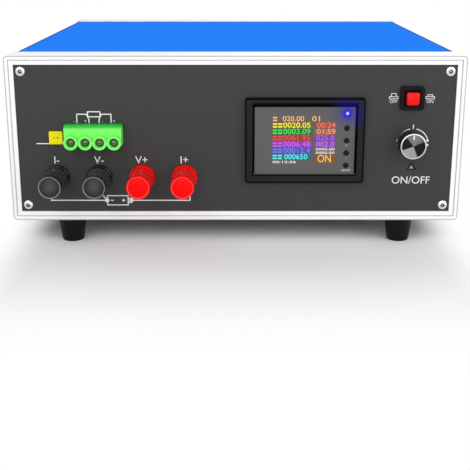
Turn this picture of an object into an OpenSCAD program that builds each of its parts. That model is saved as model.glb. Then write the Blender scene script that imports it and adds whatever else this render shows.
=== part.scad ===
// Bench electronic load: a blue sheet-metal case between two white moulded bezels.
// The front panel carries binding posts, a sensing block, a display, a switch and a knob.
// The rear panel carries two fan-cooled power stages and the supply socket.
// Millimetres, +Z up, front panel facing -Y, origin on the ground at the middle of the unit.
// Left and right are as seen from the front.

/* [Case] */
// Width over the bezels
case_w = 325; // [315:1:380]
// Height of the bezels, without the feet
case_h = 120; // [118:1:150]
// Depth over both bezels
case_d = 320; // [290:1:340]
// Depth of each moulded bezel
bezel_d = 24; // [18:1:30]
// Width of the raised rim round the bezel's face
bezel_rim = 2.8; // [2:0.1:3.5]
// Width of the sunk ring inside the rim
bezel_step = 3.6; // [2:0.1:4]
// Depth of the sunk ring below the rim
bezel_drop = 0.8; // [0.4:0.1:1.2]
// Corner radius of the bezel seen from the front
bezel_corner = 3; // [1.5:0.5:6]
// Radius along the bezel's front edges
bezel_edge = 1.2; // [0.5:0.1:2]
// Depth of both panels below the bezel rim
panel_recess = 1.8; // [1.4:0.1:3]
// Thickness of both panels
panel_t = 2; // [1.5:0.5:3]
// Sheet thickness of the cover and the tray
sheet_t = 1.2; // [0.8:0.1:2]
// Outer bend radius of the cover and the tray
sheet_bend = 2.4; // [2.1:0.1:4]
// How far the cover stands inside the bezel outline
cover_inset = 1; // [0.8:0.1:2]
// Height of the tray's side flanges
tray_flange_h = 22; // [16:1:40]

/* [Vents and feet] */
// Number of air slots in each side of the cover
vent_count = 14; // [6:1:16]
// Spacing of the air slots
vent_pitch = 9; // [7:0.5:10]
// Width of one air slot
vent_w = 3; // [2:0.5:4]
// Length of one air slot
vent_l = 42; // [20:1:50]
// Height from the ground to the bezel's underside
foot_h = 18; // [10:1:25]
// Radius of a foot where it meets the bezel
foot_top_r = 10.5; // [9:0.1:11]
// Radius of a foot at the ground
foot_tip_r = 8.1; // [7:0.1:10]
// Distance from the side of the case to a foot's centre
foot_edge = 41; // [25:0.5:60]
// Distance from a bezel's face to a foot's centre
foot_inset = 12.6; // [12:0.1:13]

/* [Fasteners] */
// Head radius of the panel corner screws
panel_screw_head_r = 3.2; // [2.6:0.1:3.6]
// Thread radius of the panel corner screws
panel_screw_r = 1.75; // [1.25:0.05:2]
// Distance from the panel's edges to its corner screws
panel_screw_inset = 4.6; // [4.2:0.1:5]
// Head radius of the small screws
small_head_r = 2.7; // [2.3:0.1:3]
// Thread radius of the small screws
small_screw_r = 1.5; // [1:0.05:1.6]
// Head radius of the fan guard screws
guard_head_r = 4.3; // [4.1:0.1:5]
// Thread radius of the fan guard screws
guard_screw_r = 2; // [1.5:0.05:2.2]

/* [Binding posts] */
// Distance from the left side of the case to the first post
post_edge = 33.5; // [28:0.5:37.5]
// Height of the posts from the panel's middle
post_z = -28; // [-36:0.5:-24]
// Spacing of the posts
post_pitch = 30.7; // [24:0.1:32]
// Radius of a post's insulating base
post_base_r = 9.3; // [8.5:0.1:11]
// Thickness of a post's insulating base
post_base_t = 4; // [2:0.5:8]
// Radius of a post's knob
post_knob_r = 8.3; // [7.6:0.1:9]
// Length of a post's knob
post_knob_l = 24.5; // [18:0.5:30]
// Flutes round a post's knob
post_flutes = 24; // [12:1:30]
// Radius of a post's stud
stud_r = 3; // [2:0.1:3.5]
// Length of stud behind the panel
stud_rear_l = 22; // [18:1:30]

/* [Sensing block] */
// Distance from the first post to the middle of the block
block_offset = 28.2; // [25:0.1:39]
// Height of the screw row from the panel's middle
block_z = 0; // [-4:0.1:2]
// Spacing of the ways
block_pitch = 10.16; // [8:0.01:10.5]
// Number of ways
block_ways = 4; // [2:1:4]
// How far the plug stands out of the panel
plug_out = 13; // [11:0.5:20]
// Height of the header
header_h = 9.4; // [7:0.1:12]
// How far the plug's bosses lap the header's face
plug_lap = 2.8; // [1.5:0.1:3]
// Width of the sensor socket
sensor_w = 9.5; // [8:0.1:10]
// Distance from the middle of the block to the sensor socket
sensor_offset = 27.7; // [27.2:0.1:34]

/* [Display] */
// Distance from the right side of the case to the middle of the display
display_edge = 113; // [107.5:0.5:122.5]
// Height of the display from the panel's middle
display_z = -0.5; // [-5:0.5:5]
// Width of the display's bezel
display_w = 85; // [80:0.5:90]
// Height of the display's bezel
display_h = 61.5; // [58:0.5:66]
// How far the display's bezel stands out of the panel
display_out = 4; // [3:0.1:6]
// Width of the window
window_w = 71.4; // [68:0.1:74]
// Height of the window
window_h = 48.4; // [46:0.1:50]
// Spacing of the keys
key_pitch = 9.1; // [7:0.1:9.5]
// Radius of a key
key_r = 1.9; // [1.5:0.1:2.2]
// Travel of a key
key_travel = 0.5; // [0.3:0.1:0.8]

/* [Switch and knob] */
// Distance from the right side of the case to the switch and knob column
controls_edge = 37.5; // [32.5:0.5:44.5]
// Height of the power switch from the panel's middle
switch_z = 30; // [24:0.5:34]
// Width of the power switch's bezel
switch_w = 17; // [16:0.5:22]
// Height of the power switch's bezel
switch_h = 17; // [15:0.5:20]
// Width of the power button
button_w = 9.2; // [8:0.1:11]
// How far the power button stands out of its bezel
button_out = 3.6; // [3.2:0.1:6]
// Travel of the power button
button_travel = 3; // [1:0.1:3]
// Height of the knob from the panel's middle
knob_z = -2; // [-12:0.5:0]
// Radius of the knob
knob_r = 9.3; // [8:0.1:12]
// Length of the knob
knob_l = 14; // [11:0.5:20]
// Radius of the encoder's shaft
shaft_r = 3; // [2:0.1:3.2]
// Travel of the encoder's push switch
push_travel = 0.5; // [0.3:0.1:0.8]

/* [Cooling] */
// Position of the midpoint between the fans
fan_mid_x = 23.5; // [10:0.5:24]
// Spacing of the fans
fan_pitch = 123; // [112:0.5:124]
// Tilt of the fans and guards about their axes
fan_tilt = 13.4; // [0:0.1:20]
// Spacing of the fan's fixing holes
fan_hole_pitch = 71.5; // [70:0.1:74]
// Thickness of the fan
fan_t = 25; // [22:1:30]
// Corner radius of the fan's eight-sided frame
fan_frame_r = 44.8; // [43.5:0.1:45]
// Radius of the fan's duct
fan_duct_r = 40.2; // [39:0.1:40.6]
// Radius of the fan's hub
fan_hub_r = 16; // [15:0.1:18]
// Number of fan blades
fan_blades = 7; // [5:1:9]
// Radius of the panel's fan opening
fan_opening_r = 45.3; // [45:0.1:46]
// Wire thickness of the fan guard
guard_wire = 1.6; // [1.2:0.1:2]
// Length of the finned heat sink
sink_l = 38; // [25:1:50]
// Radius of the finned heat sink
sink_r = 44; // [42:0.1:44.5]
// Spacing of the heat sink's fins
fin_pitch = 3; // [2.6:0.1:5]
// Thickness of one fin
fin_t = 0.9; // [0.6:0.1:1.4]
// Spacing of the pillars across
pillar_pitch_x = 89.2; // [88:0.1:91]
// Distance from the panel's upper and lower edges to the pillars
pillar_edge = 10.6; // [10.3:0.1:11.8]

/* [Supply socket] */
// Distance from the side of the case to the socket
jack_edge = 26.5; // [20.5:0.5:42.5]
// Distance from the panel's lower edge to the socket
jack_rise = 20.4; // [15.8:0.1:33.8]
// Radius of the socket's mouth
jack_bore_r = 3.2; // [2.9:0.05:3.4]
// Radius of the socket's centre pin
jack_pin_r = 1.05; // [0.9:0.05:1.3]
// Radius of the socket's flange
jack_flange_r = 6.8; // [6.4:0.1:9]

/* [Hidden] */
$fn = 48;

// Clearances
fit_gap = 0.2;
run_gap = 0.05;
move_gap = 0.3;
through = 1;

// Levels and planes of the case
middle_z = foot_h + case_h / 2;
ring_w = bezel_rim + bezel_step;
open_w = case_w - 2 * ring_w;
open_h = case_h - 2 * ring_w;
panel_w = open_w - 2 * fit_gap;
panel_h = open_h - 2 * fit_gap;
ledge_w = 6;
ledge_t = 3;
seat_depth = panel_recess + panel_t;
cover_w = case_w - 2 * cover_inset;
shell_low_z = foot_h + cover_inset;
shell_high_z = foot_h + case_h - cover_inset;
tray_w = cover_w - 2 * sheet_t - 2 * fit_gap;
spigot_l = 8;
spigot_t = 2;
spigot_w = tray_w - 2 * sheet_t - 2 * fit_gap;
spigot_h = case_h - 2 * (cover_inset + sheet_t + fit_gap);
bezel_floor_t = case_h / 2 - spigot_h / 2 + spigot_t;

// Reach of the posts in front and of the guard screws behind, from the bezel rims
collar_r = 6.5;
collar_t = 1.6;
knob_start = post_base_t + move_gap + collar_t + run_gap;
front_reach = knob_start + post_knob_l - panel_recess;
guard_head_h = 2.4;
jack_flange_t = 2;
rear_reach = max(guard_wire + guard_head_h, jack_flange_t) - panel_recess;
front_y = (front_reach - rear_reach - case_d) / 2;
rear_y = front_y + case_d;
front_panel_y = front_y + panel_recess;
rear_panel_y = rear_y - panel_recess;
shell_front_y = front_y + bezel_d + fit_gap;
shell_rear_y = rear_y - bezel_d - fit_gap;

// Places
post_x = post_edge - case_w / 2;
block_x = post_x + block_offset;
sensor_x = block_x - sensor_offset;
display_x = case_w / 2 - display_edge;
controls_x = case_w / 2 - controls_edge;
jack_x = jack_edge - case_w / 2;
jack_z = jack_rise - panel_h / 2;
pillar_pitch_z = panel_h - 2 * pillar_edge;
fan_x = [fan_mid_x - fan_pitch / 2, fan_mid_x + fan_pitch / 2];
foot_x = case_w / 2 - foot_edge;
foot_y = [front_y + foot_inset, rear_y - foot_inset];
screw_x = panel_w / 2 - panel_screw_inset;
screw_z = panel_h / 2 - panel_screw_inset;
cover_screw_inset = 30;
cover_screw_y = [shell_front_y + cover_screw_inset, shell_rear_y - cover_screw_inset];
cover_screw_z = shell_low_z + tray_flange_h * 0.6;
cover_head_h = cover_inset - 0.1;

// Rear stack, counted inwards from the rear panel's outer face
fan_in = panel_t + fan_t;
sink_in = fan_in + sink_l;
base_t = 6;
base_w = 60;
mosfet_t = 5;
mosfet_w = 16;
mosfet_l = 21;
board_t = 1.6;
board_in = sink_in + base_t + mosfet_t;
power_board_w = pillar_pitch_x + 10;
power_board_h = pillar_pitch_z + 9;
pillar_r = 3.6;
divider_screw_z = panel_h / 2 - 4.8;
divider_flange_w = 9;
divider_bite = 4;
pillar_bite = 7;
small_head_h = 1.6;
mosfet_edge = 13;
tab_hole_r = 1.8;
tab_hole_edge = 4;

// Fan details
fan_lug_r = 4.2;
fan_lug_t = 6;
fan_mount_t = 3;
fan_axle_r = 1.5;
fan_tube_r = 4;
hub_wall = 1.5;
hub_in = 2;
blade_tip_gap = 0.8;
blade_t = 1.4;
blade_chord = 25;
blade_pitch = 40;
blade_camber_r = 24;
guard_rings = [9.4, 16.7, 23.9, 31.3, 39.2];
guard_bend_r = 11.8;
guard_eye_r = 3.2;
guard_weld = 0.3;
bend_swell = 0.04;
bend_lap = 0.4;

// Binding post details
stud_front_l = knob_start + post_knob_l - 6;
knob_bore_l = post_knob_l - 5;
post_spigot_r = stud_r + 2;
post_nut_r = stud_r * 2;
post_nut_t = 5;
post_washer_r = post_nut_r + 1.4;
post_washer_t = 2;
flute_r = 0.75;
dome_r = 22;
post_skirt_l = 1.6;

// Sensing block details
block_w = block_pitch * block_ways;
boss_r = block_pitch / 2;
header_out = 10;
header_low = boss_r - plug_lap;
header_wall = 1.2;
tongue_h = header_h - 2.2;
tongue_t = 5;
terminal_head_r = 2.8;
terminal_sink = 2.4;
terminal_bite = 4;
wire_hole = 4.6;
block_in = 8;
sensor_out = 1.5;
sensor_in = 9;
sensor_h = sensor_w - 0.2;
sensor_z = 1.4;

// Display details, counted outwards from the panel's front face
bevel_w = 1.8;
lip_t = 2.2;
lip_z = display_out - lip_t;
window_t = 1.2;
display_wall = 1.5;
display_body_w = window_w + 5.6;
display_body_h = window_h + 5.6;
display_in = 14;
key_x = display_x + window_w / 2 - 5.7;
key_z = display_z + 9.1;
key_out = 0.7;
key_flange_r = key_r + 0.7;
key_flange_t = 1.2;
led_z = key_z + 10.7;
led_r = 1.5;
glass_w = window_w - 19;
glass_h = window_h - 8;
glass_x = -6;
screen_depth = 5.4;
key_switch_w = 6;
led_seat_w = 5;
led_skirt = 1;
face_lap = 0.1;

// Switch details
switch_out = 2.4;
switch_in = 20;
switch_body_w = switch_w - 3;
switch_body_h = switch_h - 2.4;
button_l = button_out + 14;

// Encoder details, counted outwards from the panel's front face
bush_r = shaft_r + 0.6;
bush_out = 5;
encoder_w = 12;
encoder_in = 6.5;
encoder_nut_r = 5.4;
encoder_nut_t = 2;
knob_off = push_travel + 0.6;
knob_cavity_r = encoder_nut_r + 0.8;
knob_cavity_l = bush_out - knob_off + push_travel + 0.7;
shaft_in = 3.5;
shaft_out = knob_off + knob_l - 3;
plunger_r = shaft_r - 0.4;
plunger_t = 1.2;
grip_flutes = 40;
grip_flute_r = 0.45;

// Control board
control_w = 120;
control_d = 90;
control_x = 70;
control_y = -35;
standoff_h = 8;
control_hole = 5;
standoff_r = 3.2;
standoff_bite = 3;
capacitor_r = 6.3;
capacitor_h = 22;
capacitor_x = 30;
capacitor_pitch = 16;
relay = [19, 15.5, 15];
relay_at = [-44, -28, 0];
connector = [32, 6, 9];
connector_x = -40;
connector_pitch = 44;
connector_edge = 12;
cooler_plate = [26, 2, 18];
cooler_at = [-14, -10, 0];
cooler_fin_t = 1.5;
cooler_fin_w = 7;
cooler_fins = 6;

// Power leads
lead_r = 2.4;
lead_bridge = 16;
lead_rear_run = 30;
lead_front_run = 40;
lead_side = 34;
lead_near = 16;
red_bridge_z = 20;
black_bridge_z = 34;

// Frames: local x runs across, y runs up and z points out of the panel's outer face

module on_front(x, z) {
    translate([x, front_panel_y, middle_z + z]) rotate([90, 0, 0]) children();
}

module on_rear(x, z) {
    translate([x, rear_panel_y, middle_z + z]) rotate([90, 0, 180]) children();
}

// Extrudes an outline drawn across and up, from one depth of the case to another
module along_y(y0, y1) {
    translate([0, y1, 0]) rotate([90, 0, 0]) linear_extrude(y1 - y0) children();
}

// Extrudes an outline from one local height to another
module from_to(z0, z1) {
    translate([0, 0, z0]) linear_extrude(z1 - z0) children();
}

module rod(z0, z1, r) {
    translate([0, 0, z0]) cylinder(r = r, h = z1 - z0);
}

module at_corners(x, z) {
    for (sx = [-1, 1], sz = [-1, 1]) translate([sx * x, sz * z]) children();
}

// Shared outlines

module rounded_rect(w, h, r) {
    square([w - 2 * r, h], center = true);
    square([w, h - 2 * r], center = true);
    at_corners(w / 2 - r, h / 2 - r) circle(r);
}

// A sheet folded down on both sides, drawn from low to high
module arch(w, low, high, r) {
    translate([-w / 2, low]) square([w, high - low - r]);
    translate([-w / 2 + r, low]) square([w - 2 * r, high - low]);
    for (s = [-1, 1]) translate([s * (w / 2 - r), high - r]) circle(r);
}

// A sheet folded up on both sides, drawn from low to high
module trough(w, low, high, r) {
    translate([-w / 2, low + r]) square([w, high - low - r]);
    translate([-w / 2 + r, low]) square([w - 2 * r, high - low]);
    for (s = [-1, 1]) translate([s * (w / 2 - r), low + r]) circle(r);
}

module obround(w, l) {
    square([w, l - w], center = true);
    for (s = [-1, 1]) translate([0, s * (l - w) / 2]) circle(w / 2);
}

// A screw with a domed head on local z = 0; its recess is "hex", "slot" or, when driven from inside, "none"
module screw(shank_r, shank_l, head_r, head_h, recess = "hex") {
    socket_r = head_r * 0.55;
    slot_w = head_r * 0.3;
    difference() {
        union() {
            intersection() {
                rod(0, head_h, head_r);
                translate([0, 0, head_h - head_r * 1.6]) sphere(head_r * 1.6);
            }
            rod(-shank_l, 0, shank_r);
        }
        if (recess == "hex") translate([0, 0, head_h * 0.4]) cylinder(r = socket_r, h = head_h, $fn = 6);
        if (recess == "slot") translate([-head_r, -slot_w / 2, head_h * 0.5])
            cube([2 * head_r, slot_w, head_h]);
    }
}

// Case

module bezel() {
    cavity_w = spigot_w - 2 * spigot_t;
    cavity_h = spigot_h - 2 * spigot_t;
    boss_l = 9;
    color("whitesmoke") difference() {
        union() {
            difference() {
                union() {
                    intersection() {
                        from_to(-bezel_d, 0) rounded_rect(case_w, case_h, bezel_corner);
                        translate([0, case_h / 2, -bezel_d]) rotate([90, 0, 0])
                            linear_extrude(case_h) rounded_rect(case_w, 2 * bezel_d, bezel_edge);
                        translate([-case_w / 2, 0, -bezel_d]) rotate([90, 0, 90])
                            linear_extrude(case_w) rounded_rect(case_h, 2 * bezel_d, bezel_edge);
                    }
                    from_to(-bezel_d - spigot_l, -bezel_d) rounded_rect(spigot_w, spigot_h, sheet_bend);
                }
                from_to(-bezel_drop, through)
                    square([case_w - 2 * bezel_rim, case_h - 2 * bezel_rim], center = true);
                from_to(-seat_depth, through) square([open_w, open_h], center = true);
                from_to(-bezel_d - spigot_l - through, through)
                    square([open_w - 2 * ledge_w, open_h - 2 * ledge_w], center = true);
                from_to(-bezel_d - spigot_l - through, -seat_depth - ledge_t)
                    square([cavity_w, cavity_h], center = true);
            }
            at_corners(screw_x, screw_z)
                rod(-seat_depth - ledge_t - boss_l, -seat_depth, panel_screw_r + 2);
        }
        at_corners(screw_x, screw_z)
            rod(-seat_depth - ledge_t - boss_l - through, through, panel_screw_r + run_gap);
        for (s = [-1, 1]) translate([s * foot_x, -case_h / 2, -foot_inset]) rotate([-90, 0, 0])
            rod(-through, bezel_floor_t + through, panel_screw_r + fit_gap);
        children();
    }
}

module front_bezel() {
    on_front(0, 0) translate([0, 0, panel_recess]) bezel();
}

module rear_bezel() {
    fan_reach = fan_hole_pitch / sqrt(2) + fan_lug_r + move_gap;
    on_rear(0, 0) translate([0, 0, panel_recess]) bezel() {
        for (s = [-1, 1]) translate([-fan_mid_x, s * divider_screw_z])
            rod(-bezel_d, through, small_screw_r + fit_gap);
        // The ledge is cut away behind the fans
        from_to(-seat_depth - ledge_t - through, -seat_depth) intersection() {
            for (x = fan_x) translate([-x, 0]) circle(fan_reach);
            square([open_w, open_h], center = true);
        }
    }
}

module panel(colour) {
    color(colour) from_to(-panel_t, 0) difference() {
        square([panel_w, panel_h], center = true);
        at_corners(screw_x, screw_z) circle(panel_screw_r + fit_gap);
        children();
    }
}

module front_panel() {
    on_front(0, 0) panel("#434343") {
        for (i = [0 : 3]) translate([post_x + i * post_pitch, post_z]) circle(post_spigot_r + fit_gap);
        translate([block_x, block_z + header_low + header_h / 2])
            square([block_w + 2 * fit_gap, header_h + 2 * fit_gap], center = true);
        translate([sensor_x, sensor_z])
            square([sensor_w - 1.6 + 2 * fit_gap, sensor_h - 1.6 + 2 * fit_gap], center = true);
        translate([display_x, display_z])
            square([display_body_w + 2 * fit_gap, display_body_h + 2 * fit_gap], center = true);
        translate([controls_x, switch_z])
            square([switch_body_w + 2 * fit_gap, switch_body_h + 2 * fit_gap], center = true);
        translate([controls_x, knob_z]) circle(bush_r + fit_gap);
    }
}

module rear_panel() {
    on_rear(0, 0) panel("#434343") {
        for (x = fan_x) translate([-x, 0]) {
            circle(fan_opening_r);
            rotate(-fan_tilt) at_corners(fan_hole_pitch / 2, fan_hole_pitch / 2)
                circle(guard_screw_r + fit_gap);
            at_corners(pillar_pitch_x / 2, pillar_pitch_z / 2) circle(small_screw_r + fit_gap);
        }
        for (s = [-1, 1]) translate([-fan_mid_x, s * divider_screw_z]) circle(small_screw_r + fit_gap);
        translate([-jack_x, jack_z]) circle(jack_flange_r - 1.2 + fit_gap);
    }
}

module top_cover() {
    color("#2d85ff") difference() {
        along_y(shell_front_y, shell_rear_y) difference() {
            arch(cover_w, shell_low_z, shell_high_z, sheet_bend);
            arch(cover_w - 2 * sheet_t, shell_low_z - through, shell_high_z - sheet_t, sheet_bend - sheet_t);
        }
        for (i = [0 : vent_count - 1])
            translate([0, (i - (vent_count - 1) / 2) * vent_pitch, middle_z + 8]) rotate([90, 0, 90])
                linear_extrude(case_w, center = true) obround(vent_w, vent_l);
        for (y = cover_screw_y) translate([0, y, cover_screw_z]) rotate([0, 90, 0])
            cylinder(r = small_screw_r + fit_gap, h = case_w, center = true);
    }
}

module bottom_tray() {
    color("#2d85ff") difference() {
        along_y(shell_front_y, shell_rear_y) difference() {
            trough(tray_w, shell_low_z, shell_low_z + tray_flange_h, sheet_bend);
            trough(tray_w - 2 * sheet_t, shell_low_z + sheet_t, shell_low_z + tray_flange_h + through,
                sheet_bend - sheet_t);
        }
        // The flanges stop short of the bezel spigots
        for (y = [shell_front_y, shell_rear_y])
            translate([0, y, shell_low_z + sheet_bend + tray_flange_h / 2])
                cube([case_w, 2 * (spigot_l + 1), tray_flange_h], center = true);
        for (y = cover_screw_y) translate([0, y, cover_screw_z]) rotate([0, 90, 0])
            cylinder(r = small_screw_r + run_gap, h = case_w, center = true);
        at_control_holes() rod(0, middle_z, small_screw_r + fit_gap);
    }
}

module feet() {
    bore_h = 6;
    lip = 1;
    color("#141416") for (sx = [-1, 1], y = foot_y) translate([sx * foot_x, y, 0]) difference() {
        union() {
            cylinder(r1 = foot_tip_r - lip / 2, r2 = foot_tip_r, h = lip);
            translate([0, 0, lip])
                cylinder(r1 = foot_tip_r, r2 = foot_top_r, h = foot_h - lip);
        }
        rod(-through, bore_h, panel_screw_head_r + 1);
        rod(0, foot_h + through, panel_screw_r + fit_gap);
    }
}

module foot_screws() {
    bore_h = 6;
    nut_h = 3;
    color("silver") for (sx = [-1, 1], y = foot_y) translate([sx * foot_x, y, bore_h]) {
        rotate([180, 0, 0])
            screw(panel_screw_r, foot_h + bezel_floor_t + nut_h - bore_h, panel_screw_head_r, 2);
        translate([0, 0, foot_h + bezel_floor_t - bore_h]) difference() {
            cylinder(r = panel_screw_r * 2, h = nut_h, $fn = 6);
            rod(-through, nut_h + through, panel_screw_r + run_gap);
        }
    }
}

module cover_screws() {
    color("silver") for (s = [-1, 1], y = cover_screw_y)
        translate([s * cover_w / 2, y, cover_screw_z]) rotate([0, s * 90, 0])
            screw(small_screw_r, 6, small_head_r, cover_head_h);
}

module panel_screws() {
    shank = panel_t + ledge_t + 7;
    color("gainsboro") {
        on_front(0, 0) at_corners(screw_x, screw_z) screw(panel_screw_r, shank, panel_screw_head_r, 1.6);
        on_rear(0, 0) at_corners(screw_x, screw_z) screw(panel_screw_r, shank, panel_screw_head_r, 1.6);
    }
}

// Cooling and power stages

module cooler_screws() {
    color("gainsboro") on_rear(0, 0) {
        for (x = fan_x) translate([-x, 0]) at_corners(pillar_pitch_x / 2, pillar_pitch_z / 2)
            screw(small_screw_r, panel_t + pillar_bite, small_head_r, small_head_h);
        for (s = [-1, 1]) translate([-fan_mid_x, s * divider_screw_z])
            screw(small_screw_r, panel_t + ledge_t + divider_bite, small_head_r, small_head_h);
    }
}

module guard_screws() {
    color("white") for (x = fan_x) on_rear(x, 0) rotate(-fan_tilt)
        at_corners(fan_hole_pitch / 2, fan_hole_pitch / 2) translate([0, 0, guard_wire])
            screw(guard_screw_r, guard_wire + panel_t + fan_lug_t - 1, guard_head_r, guard_head_h, "none");
}

module wire_ring(r) {
    rotate_extrude() translate([r, 0]) circle(guard_wire / 2);
}

// Welded rings inside two bent wires, each running from one fixing eye past the middle to the next
module fan_guard(x) {
    eye = fan_hole_pitch / sqrt(2);
    color("white") on_rear(x, 0) rotate(-fan_tilt) {
        for (r = guard_rings) translate([0, 0, -guard_wire / 2 + guard_weld]) wire_ring(r);
        translate([0, 0, guard_wire / 2]) for (half = [0, 180]) rotate(half) {
            translate([0, guard_bend_r * sqrt(2), 0]) rotate(225)
                rotate_extrude(angle = 90) translate([guard_bend_r, 0]) circle(guard_wire / 2 + bend_swell);
            for (leg = [45, 135]) rotate(leg) {
                translate([guard_bend_r - bend_lap, 0, 0]) rotate([0, 90, 0])
                    cylinder(r = guard_wire / 2, h = eye - guard_eye_r - guard_bend_r + bend_lap);
                translate([eye, 0, 0]) wire_ring(guard_eye_r);
            }
        }
    }
}

module fan_frame(x) {
    lug_reach = fan_hole_pitch / sqrt(2);
    strut_w = 4;
    color("#1b1b1e") on_rear(x, 0) rotate(-fan_tilt) translate([0, 0, -fan_in]) difference() {
        union() {
            difference() {
                rotate(22.5) cylinder(r = fan_frame_r, h = fan_t, $fn = 8);
                rod(-through, fan_t + through, fan_duct_r);
            }
            difference() {
                translate([0, 0, fan_t - fan_lug_t]) for (turn = [45 : 90 : 315]) rotate(turn) {
                    translate([0, -fan_lug_r, 0]) cube([lug_reach, 2 * fan_lug_r, fan_lug_t]);
                    translate([lug_reach, 0, 0]) cylinder(r = fan_lug_r, h = fan_lug_t);
                }
                rod(-through, fan_t + through, fan_duct_r);
            }
            rod(0, fan_mount_t, fan_hub_r);
            for (turn = [0 : 90 : 270]) rotate(turn)
                translate([0, -strut_w / 2, 0]) cube([fan_duct_r + 0.5, strut_w, fan_mount_t]);
            rod(0, fan_t - 9, fan_tube_r);
            // Stator core on the bearing tube
            rod(fan_mount_t, fan_t - 11, fan_hub_r - hub_wall - 3);
        }
        rod(fan_mount_t / 2, fan_t, fan_axle_r + run_gap);
        rotate(45) for (turn = [0 : 90 : 270]) rotate(turn)
            translate([lug_reach, 0, 0]) rod(-through, fan_t + through, guard_screw_r + run_gap);
    }
}

// One blade: a strip of curved sheet set aslant, with its length along local x
module fan_blade() {
    rotate([blade_pitch, 0, 0]) intersection() {
        translate([0, 0, -blade_camber_r]) rotate([0, 90, 0]) difference() {
            cylinder(r = blade_camber_r, h = fan_duct_r);
            rod(-through, fan_duct_r + through, blade_camber_r - blade_t);
        }
        translate([fan_hub_r / 2, -blade_chord / 2, -blade_camber_r])
            cube([fan_duct_r, blade_chord, 2 * blade_camber_r]);
    }
}

module fan_rotor(x) {
    hub_start = fan_mount_t + 1;
    hub_end = fan_t - hub_in;
    color("#18181b") on_rear(x, 0) rotate(-fan_tilt) translate([0, 0, -fan_in]) {
        difference() {
            rod(hub_start, hub_end, fan_hub_r);
            rod(hub_start - through, hub_end - 3, fan_hub_r - hub_wall);
        }
        rod(fan_mount_t, hub_end - 1, fan_axle_r);
        intersection() {
            for (i = [0 : fan_blades - 1]) rotate(i * 360 / fan_blades)
                translate([0, 0, fan_t / 2 + 2]) fan_blade();
            difference() {
                rod(hub_start, hub_end, fan_duct_r - blade_tip_gap);
                rod(0, fan_t, fan_hub_r - hub_wall / 2);
            }
        }
    }
}

// Crossed core with straight fins standing out of each quarter
module heat_sink(x) {
    core_r = 12;
    web_t = 4;
    fins = floor(sink_r / sqrt(2) / fin_pitch);
    color("#9a9ca0") on_rear(x, 0) {
        from_to(-sink_in, -fan_in) intersection() {
            circle(sink_r);
            union() {
                circle(core_r);
                for (turn = [45, 135]) rotate(turn) square([2 * sink_r, web_t], center = true);
                for (turn = [0, 90, 180, 270]) rotate(turn) for (i = [-fins : fins])
                    translate([i * fin_pitch - fin_t / 2, abs(i) * fin_pitch])
                        square([fin_t, sink_r]);
            }
        }
        from_to(-sink_in - base_t, -sink_in) square(base_w, center = true);
    }
}

module standoffs() {
    color("goldenrod") {
        for (x = fan_x) on_rear(x, 0) at_corners(pillar_pitch_x / 2, pillar_pitch_z / 2) difference() {
            translate([0, 0, -board_in]) cylinder(r = pillar_r, h = board_in - panel_t, $fn = 6);
            rod(-board_in - through, 0, small_screw_r + run_gap);
        }
        at_control_holes() translate([0, 0, shell_low_z + sheet_t]) difference() {
            cylinder(r = standoff_r, h = standoff_h, $fn = 6);
            rod(-through, standoff_h + through, small_screw_r + run_gap);
        }
    }
}

module power_board(x) {
    color("#1f6b3a") on_rear(x, 0) from_to(-board_in - board_t, -board_in) difference() {
        square([power_board_w, power_board_h], center = true);
        at_corners(pillar_pitch_x / 2, pillar_pitch_z / 2) circle(small_screw_r + fit_gap);
    }
}

module mosfets() {
    spread = base_w / 2 - mosfet_edge;
    color("#26262a") for (x = fan_x) on_rear(x, 0) at_corners(spread, spread)
        from_to(-board_in, -board_in + mosfet_t) difference() {
            square([mosfet_w, mosfet_l], center = true);
            translate([0, mosfet_l / 2 - tab_hole_edge]) circle(tab_hole_r);
        }
}

module board_screws() {
    color("silver") {
        for (x = fan_x) on_rear(x, 0) at_corners(pillar_pitch_x / 2, pillar_pitch_z / 2)
            translate([0, 0, -board_in - board_t]) rotate([180, 0, 0])
                screw(small_screw_r, board_t + pillar_bite, small_head_r, small_head_h);
        at_control_holes() {
            translate([0, 0, shell_low_z + sheet_t + standoff_h + board_t])
                screw(small_screw_r, board_t + standoff_bite, small_head_r, small_head_h);
            translate([0, 0, shell_low_z]) rotate([180, 0, 0])
                screw(small_screw_r, sheet_t + standoff_bite, small_head_r, cover_head_h);
        }
    }
}

// Upright sheet between the two coolers, with a flange screwed to the rear panel
module air_divider() {
    reach = board_in - 6;
    low = shell_low_z + sheet_t + move_gap;
    high = shell_high_z - sheet_t - move_gap;
    plate_y = rear_panel_y - panel_t - ledge_t;
    plate_x = fan_mid_x + small_head_r + 2;
    color("silver") difference() {
        union() {
            translate([plate_x, rear_panel_y - reach, low])
                cube([sheet_t, plate_y - rear_panel_y + reach, high - low]);
            translate([fan_mid_x - divider_flange_w / 2, plate_y - sheet_t, low])
                cube([plate_x - fan_mid_x + divider_flange_w / 2, sheet_t, high - low]);
        }
        on_rear(fan_mid_x, 0) for (s = [-1, 1]) translate([0, s * divider_screw_z])
            rod(-reach, through, small_screw_r + run_gap);
        // Clears the bezel's spigot at top and bottom
        for (s = [-1, 1]) translate([plate_x - 15, rear_y - bezel_d - spigot_l - 1, middle_z])
            translate([0, 0, s > 0 ? spigot_h / 2 - spigot_t - move_gap : -spigot_h / 2 - 10])
                cube([30, spigot_l + bezel_d, 10 + spigot_t + move_gap]);
    }
}

// Control electronics

module at_control_holes() {
    hole_x = control_w / 2 - control_hole;
    hole_y = control_d / 2 - control_hole;
    for (sx = [-1, 1], sy = [-1, 1])
        translate([control_x + sx * hole_x, control_y + sy * hole_y, 0]) children();
}

module control_board() {
    top = shell_low_z + sheet_t + standoff_h;
    color("#1f6b3a") difference() {
        translate([control_x - control_w / 2, control_y - control_d / 2, top])
            cube([control_w, control_d, board_t]);
        at_control_holes() rod(top - through, top + board_t + through, small_screw_r + fit_gap);
    }
}

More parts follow.
